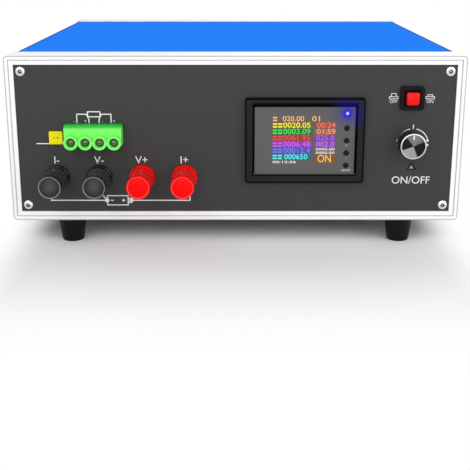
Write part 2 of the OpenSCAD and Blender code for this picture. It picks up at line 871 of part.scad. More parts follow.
// Relay, regulator heat sink, connectors and smoothing capacitors
module control_parts() {
    top = shell_low_z + sheet_t + standoff_h + board_t;
    translate([control_x, control_y, top]) {
        color("#23232a") for (i = [-1 : 1]) translate([capacitor_x, i * capacitor_pitch, 0])
            cylinder(r = capacitor_r, h = capacitor_h);
        color("royalblue") translate(relay_at) cube(relay);
        color("whitesmoke") for (i = [0, 1])
            translate([connector_x + i * connector_pitch, control_d / 2 - connector_edge, 0])
                cube(connector);
        color("silver") translate(cooler_at) {
            cube(cooler_plate);
            for (i = [0 : cooler_fins - 1])
                translate([i * (cooler_plate[0] - cooler_fin_t) / (cooler_fins - 1), cooler_plate[1], 0])
                    cube([cooler_fin_t, cooler_fin_w, cooler_plate[2]]);
        }
    }
}

// A lead that follows straight runs with rounded corners
module lead(points, r) {
    for (i = [0 : len(points) - 2]) {
        run = points[i + 1] - points[i];
        length = norm(run);
        translate(points[i])
            rotate([0, acos(run[2] / length), atan2(run[1], run[0])]) cylinder(r = r, h = length);
    }
    for (i = [1 : len(points) - 2]) translate(points[i]) sphere(r);
}

module power_leads() {
    stud_end_y = front_panel_y + panel_t + stud_rear_l;
    board_y = rear_panel_y - board_in - board_t;
    turn_y = board_y - lead_rear_run;
    cross_y = stud_end_y + lead_front_run;
    bridge_y = board_y - lead_bridge;
    post_level = middle_z + post_z;
    red_level = middle_z + red_bridge_z;
    black_level = middle_z + black_bridge_z;
    outer_x = post_x;
    inner_x = post_x + 3 * post_pitch;
    left_x = fan_x[0] - lead_side;
    near_x = fan_x[0] + lead_near;
    far_x = fan_x[1] - lead_side;
    color("#b01818") {
        lead([[inner_x, stud_end_y, post_level], [inner_x, turn_y, post_level],
            [near_x, turn_y, post_level], [near_x, board_y, post_level]], lead_r);
        lead([[near_x, board_y, red_level], [near_x, bridge_y, red_level],
            [far_x, bridge_y, red_level], [far_x, board_y, red_level]], lead_r);
    }
    color("#202024") {
        lead([[outer_x, stud_end_y, post_level], [outer_x, cross_y, post_level],
            [left_x, cross_y, post_level], [left_x, board_y, post_level]], lead_r);
        lead([[left_x, board_y, black_level], [left_x, bridge_y, black_level],
            [far_x, bridge_y, black_level], [far_x, board_y, black_level]], lead_r);
    }
}

// Display

module display_bezel() {
    color("#2a2a2a") on_front(display_x, display_z) difference() {
        union() {
            from_to(0, display_out) rounded_rect(display_w, display_h, 1.5);
            from_to(-display_in, 0) square([display_body_w, display_body_h], center = true);
        }
        hull() {
            from_to(lip_z - 0.1, lip_z) square([window_w, window_h], center = true);
            from_to(display_out, display_out + 0.1)
                square([window_w + 2 * bevel_w, window_h + 2 * bevel_w], center = true);
        }
        from_to(-display_in - through, lip_z)
            square([display_body_w - 2 * display_wall, display_body_h - 2 * display_wall], center = true);
    }
}

module display_window() {
    color("#5c5c5c") on_front(0, 0) from_to(lip_z - window_t, lip_z) difference() {
        translate([display_x, display_z])
            square([display_body_w - 2 * display_wall - 2 * fit_gap,
                display_body_h - 2 * display_wall - 2 * fit_gap], center = true);
        for (i = [0 : 3]) translate([key_x, key_z - i * key_pitch]) circle(key_r + fit_gap);
        translate([key_x, led_z]) circle(led_r + run_gap);
    }
}

// Circuit board with the screen, four key switches and the lamp's seat on its face
module display_board() {
    back = lip_z - window_t;
    board_z = back - screen_depth;
    switch_gap = key_flange_t + run_gap + key_travel + face_lap;
    color("#1f6b3a") on_front(0, 0) {
        translate([display_x, display_z]) {
            from_to(board_z - board_t, board_z)
                square([display_body_w - 2 * display_wall - 2 * fit_gap,
                    display_body_h - 2 * display_wall - 2 * fit_gap], center = true);
            from_to(board_z - face_lap, back) translate([glass_x, 0])
                square([glass_w, glass_h], center = true);
        }
        for (i = [0 : 3]) translate([key_x, key_z - i * key_pitch])
            from_to(board_z - face_lap, back - switch_gap) square(key_switch_w, center = true);
        translate([key_x, led_z]) from_to(board_z - face_lap, back - led_skirt)
            square(led_seat_w, center = true);
    }
}

module status_led() {
    color("blue") on_front(key_x, led_z) {
        rod(lip_z - window_t - led_skirt, lip_z - 0.4, led_r);
        intersection() {
            rod(lip_z - 0.5, lip_z + led_r, led_r);
            translate([0, 0, lip_z - 0.4]) sphere(led_r);
        }
    }
}

module display_key(i) {
    back = lip_z - window_t;
    color("#111113") on_front(key_x, key_z - i * key_pitch) {
        rod(back - run_gap - key_flange_t, back - run_gap, key_flange_r);
        intersection() {
            rod(back - key_flange_t, lip_z + key_out, key_r);
            translate([0, 0, lip_z + key_out - 4]) sphere(4);
        }
    }
}

// Power switch and encoder

module power_switch_body() {
    color("#0e0e10") on_front(controls_x, switch_z) difference() {
        union() {
            from_to(0, switch_out) rounded_rect(switch_w, switch_h, 2);
            from_to(-switch_in, 0) square([switch_body_w, switch_body_h], center = true);
        }
        hull() {
            from_to(switch_out - 1.4, switch_out - 1.3)
                square(button_w + 2 * move_gap, center = true);
            from_to(switch_out, switch_out + 0.1) square(button_w + 2 * move_gap + 1.8, center = true);
        }
        from_to(-switch_in + 2, switch_out) square(button_w + 2 * move_gap, center = true);
    }
}

module power_button() {
    top = switch_out + button_out;
    pillow_r = 16;
    color("red") on_front(controls_x, switch_z) intersection() {
        from_to(top - button_l, top) rounded_rect(button_w, button_w, 1.6);
        union() {
            translate([0, 0, top - pillow_r]) sphere(pillow_r);
            from_to(top - button_l, top - 3) square(button_w, center = true);
        }
    }
}

module encoder_body() {
    color("#8a8d90") on_front(controls_x, knob_z) difference() {
        union() {
            from_to(-panel_t - encoder_in, -panel_t) square(encoder_w, center = true);
            rod(-panel_t, bush_out, bush_r);
        }
        rod(-panel_t - shaft_in - plunger_t - push_travel - move_gap, bush_out + through, shaft_r + run_gap);
    }
}

module encoder_nut() {
    color("silver") on_front(controls_x, knob_z) difference() {
        union() {
            rod(0, 0.6, encoder_nut_r);
            translate([0, 0, 0.6]) cylinder(r = encoder_nut_r, h = encoder_nut_t - 0.6, $fn = 6);
        }
        rod(-through, encoder_nut_t + through, bush_r + run_gap);
    }
}

module encoder_plunger() {
    color("ivory") on_front(controls_x, knob_z)
        rod(-panel_t - shaft_in - plunger_t - run_gap, -panel_t - shaft_in - run_gap, plunger_r);
}

module encoder_shaft() {
    color("silver") on_front(controls_x, knob_z) rod(-panel_t - shaft_in, shaft_out, shaft_r);
}

module encoder_knob() {
    chamfer = 0.9;
    mark = [0.9, 3.2, 0.5];
    color("#3a3a3d") on_front(controls_x, knob_z) translate([0, 0, knob_off]) difference() {
        union() {
            rod(0, knob_l - chamfer, knob_r);
            translate([0, 0, knob_l - chamfer]) cylinder(r1 = knob_r, r2 = knob_r - chamfer, h = chamfer);
        }
        rod(-through, knob_cavity_l, knob_cavity_r);
        rod(-through, shaft_out - knob_off, shaft_r + run_gap);
        for (i = [0 : grip_flutes - 1]) rotate(i * 360 / grip_flutes)
            translate([knob_r + grip_flute_r * 0.3, 0, 1.2])
                cylinder(r = grip_flute_r, h = knob_l - 3.6, $fn = 16);
        translate([-mark[0] / 2, knob_r - chamfer - mark[1] - 0.2, knob_l - mark[2]])
            cube([mark[0], mark[1], mark[2] + through]);
    }
}

// Sensing block and sensor socket

module block_way_centres() {
    for (i = [0 : block_ways - 1]) translate([(i - (block_ways - 1) / 2) * block_pitch, 0]) children();
}

// Fixed shroud in the panel, open downwards for the plug's tongue
module terminal_header() {
    chamfer = 3;
    color("#22c43a") on_front(block_x, block_z) difference() {
        translate([0, header_low, 0]) rotate([90, 0, 90]) linear_extrude(block_w, center = true)
            polygon([[run_gap, -block_in], [header_h, -block_in], [header_h, header_out - chamfer],
                [header_h - chamfer * 0.8, header_out], [run_gap, header_out]]);
        translate([-block_w / 2 + header_wall, header_low - through, header_out - header_wall - tongue_t])
            cube([block_w - 2 * header_wall, tongue_h + through + move_gap, tongue_t]);
    }
}

// Plug with a round boss for each screw that laps the header's face, wire entries below and
// a tongue that enters the header
module terminal_plug() {
    gap = 0.15;
    face = header_out + move_gap;
    color("#35d94c") on_front(block_x, block_z) difference() {
        union() {
            block_way_centres() rod(face, plug_out, boss_r + 0.02);
            intersection() {
                block_way_centres() rod(move_gap, face, boss_r + 0.02);
                from_to(0, plug_out) translate([-block_w, -block_w])
                    square([2 * block_w, block_w + header_low]);
            }
            from_to(move_gap, face)
                translate([-block_w / 2, -boss_r * 0.5]) square([block_w, boss_r * 0.5 + header_low]);
            translate([-block_w / 2 + header_wall + move_gap, 0, header_out - header_wall - tongue_t + gap])
                cube([block_w - 2 * header_wall - 2 * move_gap, header_low + tongue_h, tongue_t - 2 * gap]);
        }
        block_way_centres() rod(plug_out - terminal_sink, plug_out + through, terminal_head_r + 0.6);
        block_way_centres() rod(plug_out - terminal_sink - 5, plug_out, terminal_head_r - 1.2 + run_gap);
        block_way_centres() translate([-wire_hole / 2, -boss_r - through, 3.2])
            cube([wire_hole, boss_r + through, wire_hole]);
    }
}

module terminal_screws() {
    color("silver") on_front(block_x, block_z) block_way_centres()
        translate([0, 0, plug_out - terminal_sink])
            screw(terminal_head_r - 1.2, terminal_bite, terminal_head_r, 1.8, "slot");
}

// Keyed socket with a shallow dished face and two pins sunk in it
module sensor_socket() {
    wall = 1.3;
    dish = 0.4;
    pin_r = 0.45;
    pin_hole_r = 0.7;
    pin_hole_l = 5;
    pin_pitch = 2.5;
    color("#f2e205") on_front(sensor_x, sensor_z) {
        difference() {
            union() {
                from_to(0, sensor_out) rounded_rect(sensor_w, sensor_h, 0.8);
                from_to(-sensor_in, 0) square([sensor_w - 1.6, sensor_h - 1.6], center = true);
            }
            from_to(sensor_out - dish, sensor_out + through)
                square([sensor_w - 2 * wall, sensor_h - 2 * wall], center = true);
            for (s = [-1, 1]) translate([s * pin_pitch / 2, 0])
                rod(sensor_out - pin_hole_l, sensor_out, pin_hole_r);
        }
        for (s = [-1, 1]) translate([s * pin_pitch / 2, 0])
            rod(sensor_out - pin_hole_l - pin_r, sensor_out - 1.5, pin_r);
    }
}

// Binding posts

module at_post(i) {
    on_front(post_x + i * post_pitch, post_z) children();
}

module post_base() {
    step = 1;
    difference() {
        union() {
            rod(0, post_base_t - step, post_base_r);
            translate([0, 0, post_base_t - step])
                cylinder(r1 = post_base_r, r2 = post_base_r - step, h = step);
            rod(-panel_t, 0, post_spigot_r);
        }
        rod(-panel_t - through, post_base_t + through, stud_r + run_gap);
    }
}

module post_bases_black() {
    color("#17171a") for (i = [0, 1]) at_post(i) post_base();
}

module post_bases_red() {
    color("#e00a14") for (i = [2, 3]) at_post(i) post_base();
}

// Studs with the insulating washer and nut that clamp them behind the panel
module post_studs() {
    for (i = [0 : 3]) at_post(i) {
        color("silver") rod(-panel_t - stud_rear_l, stud_front_l, stud_r);
        color("#17171a") translate([0, 0, -panel_t - post_washer_t]) difference() {
            rod(0, post_washer_t, post_washer_r);
            rod(-through, post_washer_t + through, stud_r + run_gap);
        }
        color("silver") translate([0, 0, -panel_t - post_washer_t - post_nut_t]) difference() {
            cylinder(r = post_nut_r, h = post_nut_t, $fn = 6);
            rod(-through, post_nut_t + through, stud_r + run_gap);
        }
    }
}

module post_collar(i) {
    color("gold") at_post(i) translate([0, 0, post_base_t + move_gap]) difference() {
        rod(0, collar_t, collar_r);
        rod(-through, collar_t + through, stud_r + run_gap);
    }
}

// Half outline of a post's knob: skirt, grip and domed cap
module post_knob_outline() {
    cap_l = 5;
    lip = 0.9;
    waist = 0.3;
    edge = post_knob_l - lip - dome_r + sqrt(pow(dome_r, 2) - pow(post_knob_r - lip, 2)) - 0.3;
    intersection() {
        polygon([[0, 0], [post_knob_r, 0], [post_knob_r, post_skirt_l], [post_knob_r - waist, post_skirt_l],
            [post_knob_r - waist, post_knob_l - cap_l], [post_knob_r, post_knob_l - cap_l],
            [post_knob_r, edge],
            [post_knob_r - lip, edge + lip], [post_knob_r - lip, post_knob_l + 1], [0, post_knob_l + 1]]);
        translate([0, post_knob_l - dome_r]) circle(dome_r);
    }
}

// Fluted grip under a smooth domed cap
module post_knob(i) {
    color(i < 2 ? "#17171a" : "#f0101a") at_post(i) translate([0, 0, knob_start]) difference() {
        rotate_extrude() post_knob_outline();
        for (k = [0 : post_flutes - 1]) rotate(k * 360 / post_flutes)
            translate([post_knob_r, 0, post_skirt_l + 0.4])
                cylinder(r = flute_r, h = post_knob_l - post_skirt_l - 6);
        rod(-through, knob_bore_l, stud_r + run_gap);
    }
}

// Supply socket with its centre pin and the ring nut behind the panel

module dc_jack() {
    barrel_r = jack_flange_r - 1.2;
    barrel_l = 14;
    bore_l = 10;
    nut_t = 3;
    on_rear(jack_x, jack_z) {
        color("#101012") difference() {
            union() {
                rod(0, jack_flange_t, jack_flange_r);
                rod(-barrel_l, 0, barrel_r);
            }
            rod(jack_flange_t - bore_l, jack_flange_t + through, jack_bore_r);
        }
        color("silver") {
            rod(jack_flange_t - bore_l, jack_flange_t - 1, jack_pin_r);
            translate([0, 0, -panel_t - nut_t]) difference() {
                cylinder(r = barrel_r + 2.4, h = nut_t, $fn = 6);
                rod(-through, nut_t + through, barrel_r + run_gap);
            }
        }
    }
}

front_bezel();
front_panel();
rear_bezel();
rear_panel();
top_cover();
bottom_tray();
feet();
foot_screws();
cover_screws();
panel_screws();
cooler_screws();
guard_screws();
fan_guard(fan_x[0]);  // fan_guard_left
fan_guard(fan_x[1]);  // fan_guard_right
fan_frame(fan_x[0]);  // fan_frame_left
fan_frame(fan_x[1]);  // fan_frame_right
fan_rotor(fan_x[0]);  // fan_rotor_left
fan_rotor(fan_x[1]);  // fan_rotor_right
heat_sink(fan_x[0]);  // heat_sink_left
heat_sink(fan_x[1]);  // heat_sink_right
standoffs();
power_board(fan_x[0]);  // power_board_left
power_board(fan_x[1]);  // power_board_right
mosfets();
board_screws();
air_divider();
control_board();
control_parts();
power_leads();
display_bezel();
display_window();
display_board();
status_led();
display_key(0);  // display_key_1
display_key(1);  // display_key_2
display_key(2);  // display_key_3
display_key(3);  // display_key_4
power_switch_body();
power_button();
encoder_body();
encoder_nut();
encoder_plunger();
encoder_shaft();
encoder_knob();
terminal_header();
terminal_plug();
terminal_screws();
sensor_socket();
post_bases_black();
post_bases_red();
post_studs();
post_collar(0);  // post_collar_1
post_collar(1);  // post_collar_2
post_collar(2);  // post_collar_3
post_collar(3);  // post_collar_4
post_knob(0);  // post_knob_1
post_knob(1);  // post_knob_2
post_knob(2);  // post_knob_3
post_knob(3);  // post_knob_4
dc_jack();
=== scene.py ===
import math
from functools import partial

import bmesh
import bpy
from mathutils import Matrix, Vector


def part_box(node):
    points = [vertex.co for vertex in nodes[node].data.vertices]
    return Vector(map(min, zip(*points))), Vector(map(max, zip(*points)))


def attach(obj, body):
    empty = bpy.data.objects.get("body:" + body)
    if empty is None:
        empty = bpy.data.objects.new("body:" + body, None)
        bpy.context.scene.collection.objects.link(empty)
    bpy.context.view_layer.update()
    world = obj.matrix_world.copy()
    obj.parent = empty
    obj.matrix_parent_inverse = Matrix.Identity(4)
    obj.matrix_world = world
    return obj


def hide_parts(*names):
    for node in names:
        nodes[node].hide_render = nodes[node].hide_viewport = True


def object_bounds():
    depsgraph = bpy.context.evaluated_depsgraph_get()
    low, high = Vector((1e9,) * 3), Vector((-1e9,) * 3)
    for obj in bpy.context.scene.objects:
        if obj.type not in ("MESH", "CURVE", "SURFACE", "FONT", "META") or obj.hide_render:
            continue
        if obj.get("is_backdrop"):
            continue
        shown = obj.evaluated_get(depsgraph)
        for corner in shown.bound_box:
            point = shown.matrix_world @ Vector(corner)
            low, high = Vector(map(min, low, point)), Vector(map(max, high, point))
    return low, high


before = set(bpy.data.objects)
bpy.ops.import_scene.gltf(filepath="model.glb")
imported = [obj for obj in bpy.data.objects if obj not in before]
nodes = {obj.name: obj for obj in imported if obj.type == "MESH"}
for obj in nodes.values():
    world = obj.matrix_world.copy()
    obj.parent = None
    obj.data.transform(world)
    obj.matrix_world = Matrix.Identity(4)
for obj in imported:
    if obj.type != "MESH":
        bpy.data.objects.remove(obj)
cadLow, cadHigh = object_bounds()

mm = 0.001
white = (1.0, 1.0, 1.0, 1.0)
scene = bpy.context.scene


def srgb(red, green, blue):
    parts = [c / 255 for c in (red, green, blue)]
    return tuple(c / 12.92 if c <= 0.04045 else ((c + 0.055) / 1.055) ** 2.4 for c in parts) + (1.0,)


def shade(colour, factor):
    return tuple(min(1.0, c * factor) for c in colour[:3]) + (1.0,)


def stand(name, data):
    thing = bpy.data.objects.new(name, data)
    scene.collection.objects.link(thing)
    return thing


def boxOf(points):
    return tuple(Vector([pick(spot[k] for spot in points) for k in range(3)]) for pick in (min, max))


# small node makers
def feed(tree, node, values):  # by input: a socket is linked, a constant is set
    for key, value in values.items():
        if isinstance(value, bpy.types.NodeSocket):
            tree.links.new(value, node.inputs[key])
        else:
            node.inputs[key].default_value = value
    return node


def addNode(tree, kind, values=None, **settings):
    node = tree.nodes.new(kind)
    for key, value in settings.items():
        setattr(node, key, value)
    return feed(tree, node, values or {})


def mathNode(tree, operation, *values):
    return addNode(tree, "ShaderNodeMath", dict(enumerate(values)), operation=operation).outputs[0]


def rise(tree, value, start, full, low=0.0, high=1.0):  # low up to start, high from full on
    step = addNode(tree, "ShaderNodeMapRange", {"Value": value, "From Min": start, "From Max": full,
                                                "To Min": low, "To Max": high})
    return step.outputs["Result"]


def ramp(tree, fac, stops, blend="LINEAR"):  # stops: (place, colour) in order
    node = addNode(tree, "ShaderNodeValToRGB", {"Fac": fac})
    band = node.color_ramp
    band.interpolation = blend
    for place, _ in stops[1:-1]:
        band.elements.new(place)
    for stop, (place, colour) in zip(band.elements, stops):
        stop.position, stop.color = place, colour
    return node.outputs["Color"]


def objectPlace(tree):
    return addNode(tree, "ShaderNodeTexCoord").outputs["Object"]


def objectAxes(tree):
    return addNode(tree, "ShaderNodeSeparateXYZ", {0: objectPlace(tree)}).outputs


def roundFade(tree, mid, radius):  # one on the axis through the middle, nought at the radius
    scale = 1.0 / radius
    centre = addNode(tree, "ShaderNodeMapping", {"Vector": objectPlace(tree), "Scale": (scale, 0.0, scale),
                                                 "Location": (-mid.x * scale, 0.0, -mid.z * scale)})
    fade = addNode(tree, "ShaderNodeTexGradient", {"Vector": centre.outputs["Vector"]}, gradient_type="SPHERICAL")
    return fade.outputs["Fac"]


def newFinish(name):
    mat = bpy.data.materials.new(name)
    mat.use_nodes = True
    tree = mat.node_tree
    return mat, tree, tree.nodes["Principled BSDF"]


# stage: camera, sky, paper and lamps
stageSet = {
    "lens": 67.89, "sensor": 36.0, "clip": (0.02, 60.0), "lensShift": -0.1,
    "place": (-0.0003, -0.7670, 0.2124), "pitch": 74.67,
    "floorSize": 24.0, "floorColour": (0.88, 0.88, 0.88, 1.0), "floorRough": 0.9,
    "paperReach": ((-0.025, 0.015), (0.0, 0.16)),  # where the white starts and is full, across and along
    "skyLight": 0.68, "skyShown": 1.0, "lampAim": (0.0, -0.05, 0.07),
}
lampSet = {  # place, size and power
    "keyLamp": ((-0.9, -1.5, 1.5), 1.4, 9.0),
    "lowLamp": ((-0.2, -1.9, 0.45), 1.0, 4.2),
    "fillLamp": ((1.2, -1.3, 0.7), 1.4, 9.0),
    "rearLamp": ((0.6, 1.7, 1.1), 1.4, 11.0),
}


def makeCamera():
    data = bpy.data.cameras.new("camera")
    data.lens = stageSet["lens"]
    data.sensor_width = stageSet["sensor"]
    data.shift_y = stageSet["lensShift"]  # the object stands in the upper half of the frame
    data.clip_start, data.clip_end = stageSet["clip"]
    cam = stand("camera", data)
    cam.location = stageSet["place"]
    cam.rotation_euler = (math.radians(stageSet["pitch"]), 0.0, 0.0)
    scene.camera = cam


def makeLamp(name, place, size, power):
    data = bpy.data.lights.new(name, "AREA")
    data.shape = "SQUARE"
    data.size = size
    data.energy = power
    lamp = stand(name, data)
    lamp.location = place
    aim = Vector(stageSet["lampAim"]) - Vector(place)
    lamp.rotation_euler = aim.to_track_quat("-Z", "Y").to_euler()


def makeSky():
    world = bpy.data.worlds.new("sky")
    scene.world = world
    world.use_nodes = True
    tree = world.node_tree
    tree.nodes.clear()
    light, shown = (addNode(tree, "ShaderNodeBackground", {"Color": white, "Strength": stageSet[key]})
                    for key in ("skyLight", "skyShown"))
    rays = addNode(tree, "ShaderNodeLightPath").outputs
    seen = mathNode(tree, "MAXIMUM", rays["Is Camera Ray"], rays["Is Glossy Ray"])
    seen = mathNode(tree, "MAXIMUM", seen, rays["Is Transmission Ray"])
    mix = addNode(tree, "ShaderNodeMixShader", {"Fac": seen, 1: light.outputs[0], 2: shown.outputs[0]})
    addNode(tree, "ShaderNodeOutputWorld", {"Surface": mix.outputs[0]})


def makeFloor():
    half = stageSet["floorSize"] / 2
    mesh = bpy.data.meshes.new("floor")
    mesh.from_pydata([(-half, -half, 0), (half, -half, 0), (half, half, 0), (-half, half, 0)], [], [(0, 1, 2, 3)])
    mat, tree, bsdf = newFinish("floorPaper")
    calc = partial(mathNode, tree)
    feed(tree, bsdf, {"Base Color": stageSet["floorColour"], "Roughness": stageSet["floorRough"],
                      "Specular IOR Level": 0.0})
    axes = objectAxes(tree)
    squares = []
    for axis, edge, (start, full) in zip("XY", cadHigh, stageSet["paperReach"]):  # out from the footprint's edge
        outside = rise(tree, calc("ABSOLUTE", axes[axis]), edge + start, edge + full)
        squares.append(calc("MULTIPLY", outside, outside))
    away = calc("SQRT", calc("ADD", *squares))
    spread = addNode(tree, "ShaderNodeMapRange", {"Value": away}, interpolation_type="SMOOTHSTEP")
    seen = addNode(tree, "ShaderNodeLightPath").outputs["Is Camera Ray"]
    share = calc("MULTIPLY", seen, spread.outputs["Result"])
    paper = addNode(tree, "ShaderNodeEmission", {"Color": white, "Strength": 1.0})  # white past the shadow
    mix = addNode(tree, "ShaderNodeMixShader", {"Fac": share, 1: bsdf.outputs[0], 2: paper.outputs[0]})
    feed(tree, tree.nodes["Material Output"], {"Surface": mix.outputs[0]})
    mesh.materials.append(mat)
    stand("floor", mesh)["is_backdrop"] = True


makeCamera()
makeSky()
makeFloor()
for name, (place, size, power) in lampSet.items():
    makeLamp(name, place, size, power)
scene.view_settings.view_transform = "Standard"
print("stage: camera, sky, floor and lamps made")


# finishes, all procedural on object coordinates
grainSet = {"fineDetail": 4.0, "broadDetail": 3.0, "share": 0.5, "span": (0.3, 0.7), "roughVary": 0.06,
            "roughLeast": 0.02, "bumpDepth": 0.0002}


def noiseOf(tree, scale, detail, stretch=None):
    place = objectPlace(tree)
    if stretch:
        place = addNode(tree, "ShaderNodeMapping", {"Vector": place, "Scale": stretch}).outputs["Vector"]
    return addNode(tree, "ShaderNodeTexNoise", {"Vector": place, "Scale": scale, "Detail": detail}).outputs["Fac"]


def finish(name, colour, rough, grain=900.0, bump=0.05, vary=0.1, metal=0.0, spec=0.5, stretch=None, blotch=35.0):
    mat, tree, bsdf = newFinish(name)
    fine = noiseOf(tree, grain, grainSet["fineDetail"], stretch)
    broad = noiseOf(tree, blotch, grainSet["broadDetail"])
    share, swing = grainSet["share"], grainSet["roughVary"]
    both = mathNode(tree, "MULTIPLY_ADD", broad, share, mathNode(tree, "MULTIPLY", fine, share))
    low, high = grainSet["span"]
    tint = ramp(tree, both, ((low, shade(colour, 1.0 - vary)), (high, shade(colour, 1.0 + vary))))
    gloss = rise(tree, broad, low, high, max(grainSet["roughLeast"], rough - swing), min(1.0, rough + swing))
    relief = addNode(tree, "ShaderNodeBump", {"Strength": bump, "Distance": grainSet["bumpDepth"], "Height": fine})
    feed(tree, bsdf, {"Base Color": tint, "Roughness": gloss, "Normal": relief.outputs["Normal"],
                      "Metallic": metal, "Specular IOR Level": spec})
    return mat


def glowing(name, colour, strength, base=0.3):
    mat = finish(name, shade(colour, base), 0.5)
    tree = mat.node_tree
    feed(tree, tree.nodes["Principled BSDF"], {"Emission Color": colour, "Emission Strength": strength})
    return mat


# name, colour, roughness, grain, bump and variation, then what else differs
bezelWhite = finish("bezelWhite", (0.91, 0.91, 0.915), 0.5, 1600, 0.06, 0.015, spec=0.1)
panelGrey = finish("panelGrey", (0.037, 0.037, 0.0375), 0.55, 2600, 0.12, 0.08, spec=0.25)
coverBlue = finish("coverBlue", (0.0225, 0.226, 0.97), 0.65, 700, 0.03, 0.03, spec=0.0)
footRubber = finish("footRubber", (0.0025, 0.0025, 0.003), 0.4, 1500, 0.1, 0.2, spec=0.16)
screwZinc = finish("screwZinc", (0.86, 0.86, 0.85), 0.3, 2200, 0.05, 0.06, metal=1.0)
guardHead = finish("guardHead", (0.90, 0.90, 0.90), 0.35, 2200, 0.12, 0.05, metal=0.25)
guardPlated = finish("guardPlated", (0.93, 0.93, 0.93), 0.25, 1800, 0.04, 0.03, metal=0.85)
fanBlack = finish("fanBlack", (0.010, 0.010, 0.011), 0.45, 1800, 0.1, 0.15, spec=0.4)
rotorBlack = finish("rotorBlack", (0.008, 0.008, 0.009), 0.4, 1500, 0.06, 0.15, spec=0.4)
sinkAluminium = finish("sinkAluminium", (0.45, 0.45, 0.46), 0.38, 900, 0.1, 0.12, metal=0.9, stretch=(1.0, 0.06, 1.0))
spacerBrass = finish("spacerBrass", (0.75, 0.56, 0.25), 0.3, 1500, 0.05, 0.1, metal=1.0)
boardGreen = finish("boardGreen", (0.015, 0.11, 0.04), 0.4, 500, 0.1, 0.3)
deviceBlack = finish("deviceBlack", (0.016, 0.016, 0.018), 0.5, 1800, 0.1, 0.15)
dividerSteel = finish("dividerSteel", (0.55, 0.55, 0.55), 0.4, 1000, 0.06, 0.1, metal=1.0, stretch=(1.0, 0.08, 1.0))
controlMix = finish("controlMix", (0.06, 0.06, 0.08), 0.45, 900, 0.05, 0.2)
leadRubber = finish("leadRubber", (0.05, 0.015, 0.015), 0.5, 900, 0.1, 0.2)
displayBlack = finish("displayBlack", (0.019, 0.019, 0.019), 0.45, 2400, 0.08, 0.08, spec=0.03)
windowGrey = finish("windowGrey", (0.096, 0.096, 0.097), 0.5, 1400, 0.02, 0.04, spec=0.25)
keyBlack = finish("keyBlack", (0.005, 0.005, 0.005), 0.5, 1800, 0.06, 0.2, spec=0.15)
switchBlack = finish("switchBlack", (0.004, 0.004, 0.005), 0.4, 1800, 0.05, 0.2, spec=0.12)
buttonRed = finish("buttonRed", (0.88, 0.001, 0.001), 0.25, 1400, 0.03, 0.05, spec=0.2)
encoderSteel = finish("encoderSteel", (0.55, 0.55, 0.54), 0.35, 1200, 0.06, 0.1, metal=1.0)
terminalGreen = finish("terminalGreen", (0.18, 0.89, 0.13), 0.36, 1600, 0.06, 0.06, spec=0.4)
socketYellow = finish("socketYellow", (0.90, 0.80, 0.001), 0.45, 1500, 0.06, 0.05, spec=0.15)
postBlack = finish("postBlack", (0.007, 0.007, 0.008), 0.32, 1500, 0.05, 0.2, spec=0.35)
postRed = finish("postRed", (0.88, 0.0, 0.0), 0.35, 1400, 0.05, 0.05, spec=0.10)
# painted highlight: the ribs of the post grips are lighter than the knobs so the knurl shows, and glossier
ribBlackHighlight = finish("ribBlackHighlight", (0.055, 0.055, 0.056), 0.22, 1500, 0.05, 0.3, spec=0.7)
ribRedHighlight = finish("ribRedHighlight", (0.94, 0.016, 0.013), 0.25, 1400, 0.05, 0.12, spec=0.45)
postBrass = finish("postBrass", (0.82, 0.62, 0.28), 0.28, 1400, 0.05, 0.1, metal=1.0)
jackBlack = finish("jackBlack", (0.022, 0.022, 0.022), 0.45, 1600, 0.08, 0.2)
inkWhite = finish("inkWhite", (0.80, 0.80, 0.80), 0.55, 1900, 0.06, 0.05, spec=0.2)
knobDark = finish("knobDark", (0.05, 0.05, 0.052), 0.34, 1600, 0.06, 0.12, metal=0.8)
rimSilver = finish("rimSilver", (0.72, 0.72, 0.73), 0.3, 1600, 0.04, 0.06, metal=1.0)
hubPale = finish("hubPale", (0.52, 0.54, 0.44), 0.45, 420, 0.03, 0.22, spec=0.3, blotch=90.0)
# painted highlight on the fan hubs
hubHighlight = finish("hubHighlight", (0.80, 0.80, 0.81), 0.45, 420, 0.03, 0.06, spec=0.3, blotch=90.0)
hubGreen = finish("hubGreen", (0.12, 0.24, 0.10), 0.4, 620, 0.05, 0.6, spec=0.3, blotch=160.0)
edgeGrey = finish("edgeGrey", (0.16, 0.16, 0.165), 0.45, 900, 0.05, 0.35, spec=0.4)
clampSteel = finish("clampSteel", (0.16, 0.17, 0.10), 0.45, 1300, 0.15, 0.45, metal=0.7, blotch=420.0)
# painted shade on the floors of screw sockets
recessShade = finish("recessShade", (0.02, 0.02, 0.021), 0.55, 1600, 0.08, 0.2, spec=0.2)
boreDark = finish("boreDark", (0.003, 0.003, 0.003), 0.5, 1200, 0.05, 0.3, spec=0.2)
# painted shade for the lines at the bezels' edges and steps
stepShadeGrey = finish("stepShadeGrey", (0.50, 0.50, 0.51), 0.5, 1600, 0.05, 0.03, spec=0.2)
# painted highlight: paler rings on the lips of the post caps
capGreyHighlight = finish("capGreyHighlight", (0.17, 0.17, 0.175), 0.3, 1500, 0.05, 0.25)
capPinkHighlight = finish("capPinkHighlight", (0.95, 0.035, 0.03), 0.35, 1500, 0.05, 0.12, spec=0.3)
markGrey = finish("markGrey", (0.30, 0.30, 0.30), 0.55, 1900, 0.06, 0.06, spec=0.2)
markDark = finish("markDark", (0.006, 0.006, 0.006), 0.55, 1900, 0.06, 0.15, spec=0.15)
lampBlue = glowing("lampBlue", (0.30, 0.30, 1.0, 1), 1.1)

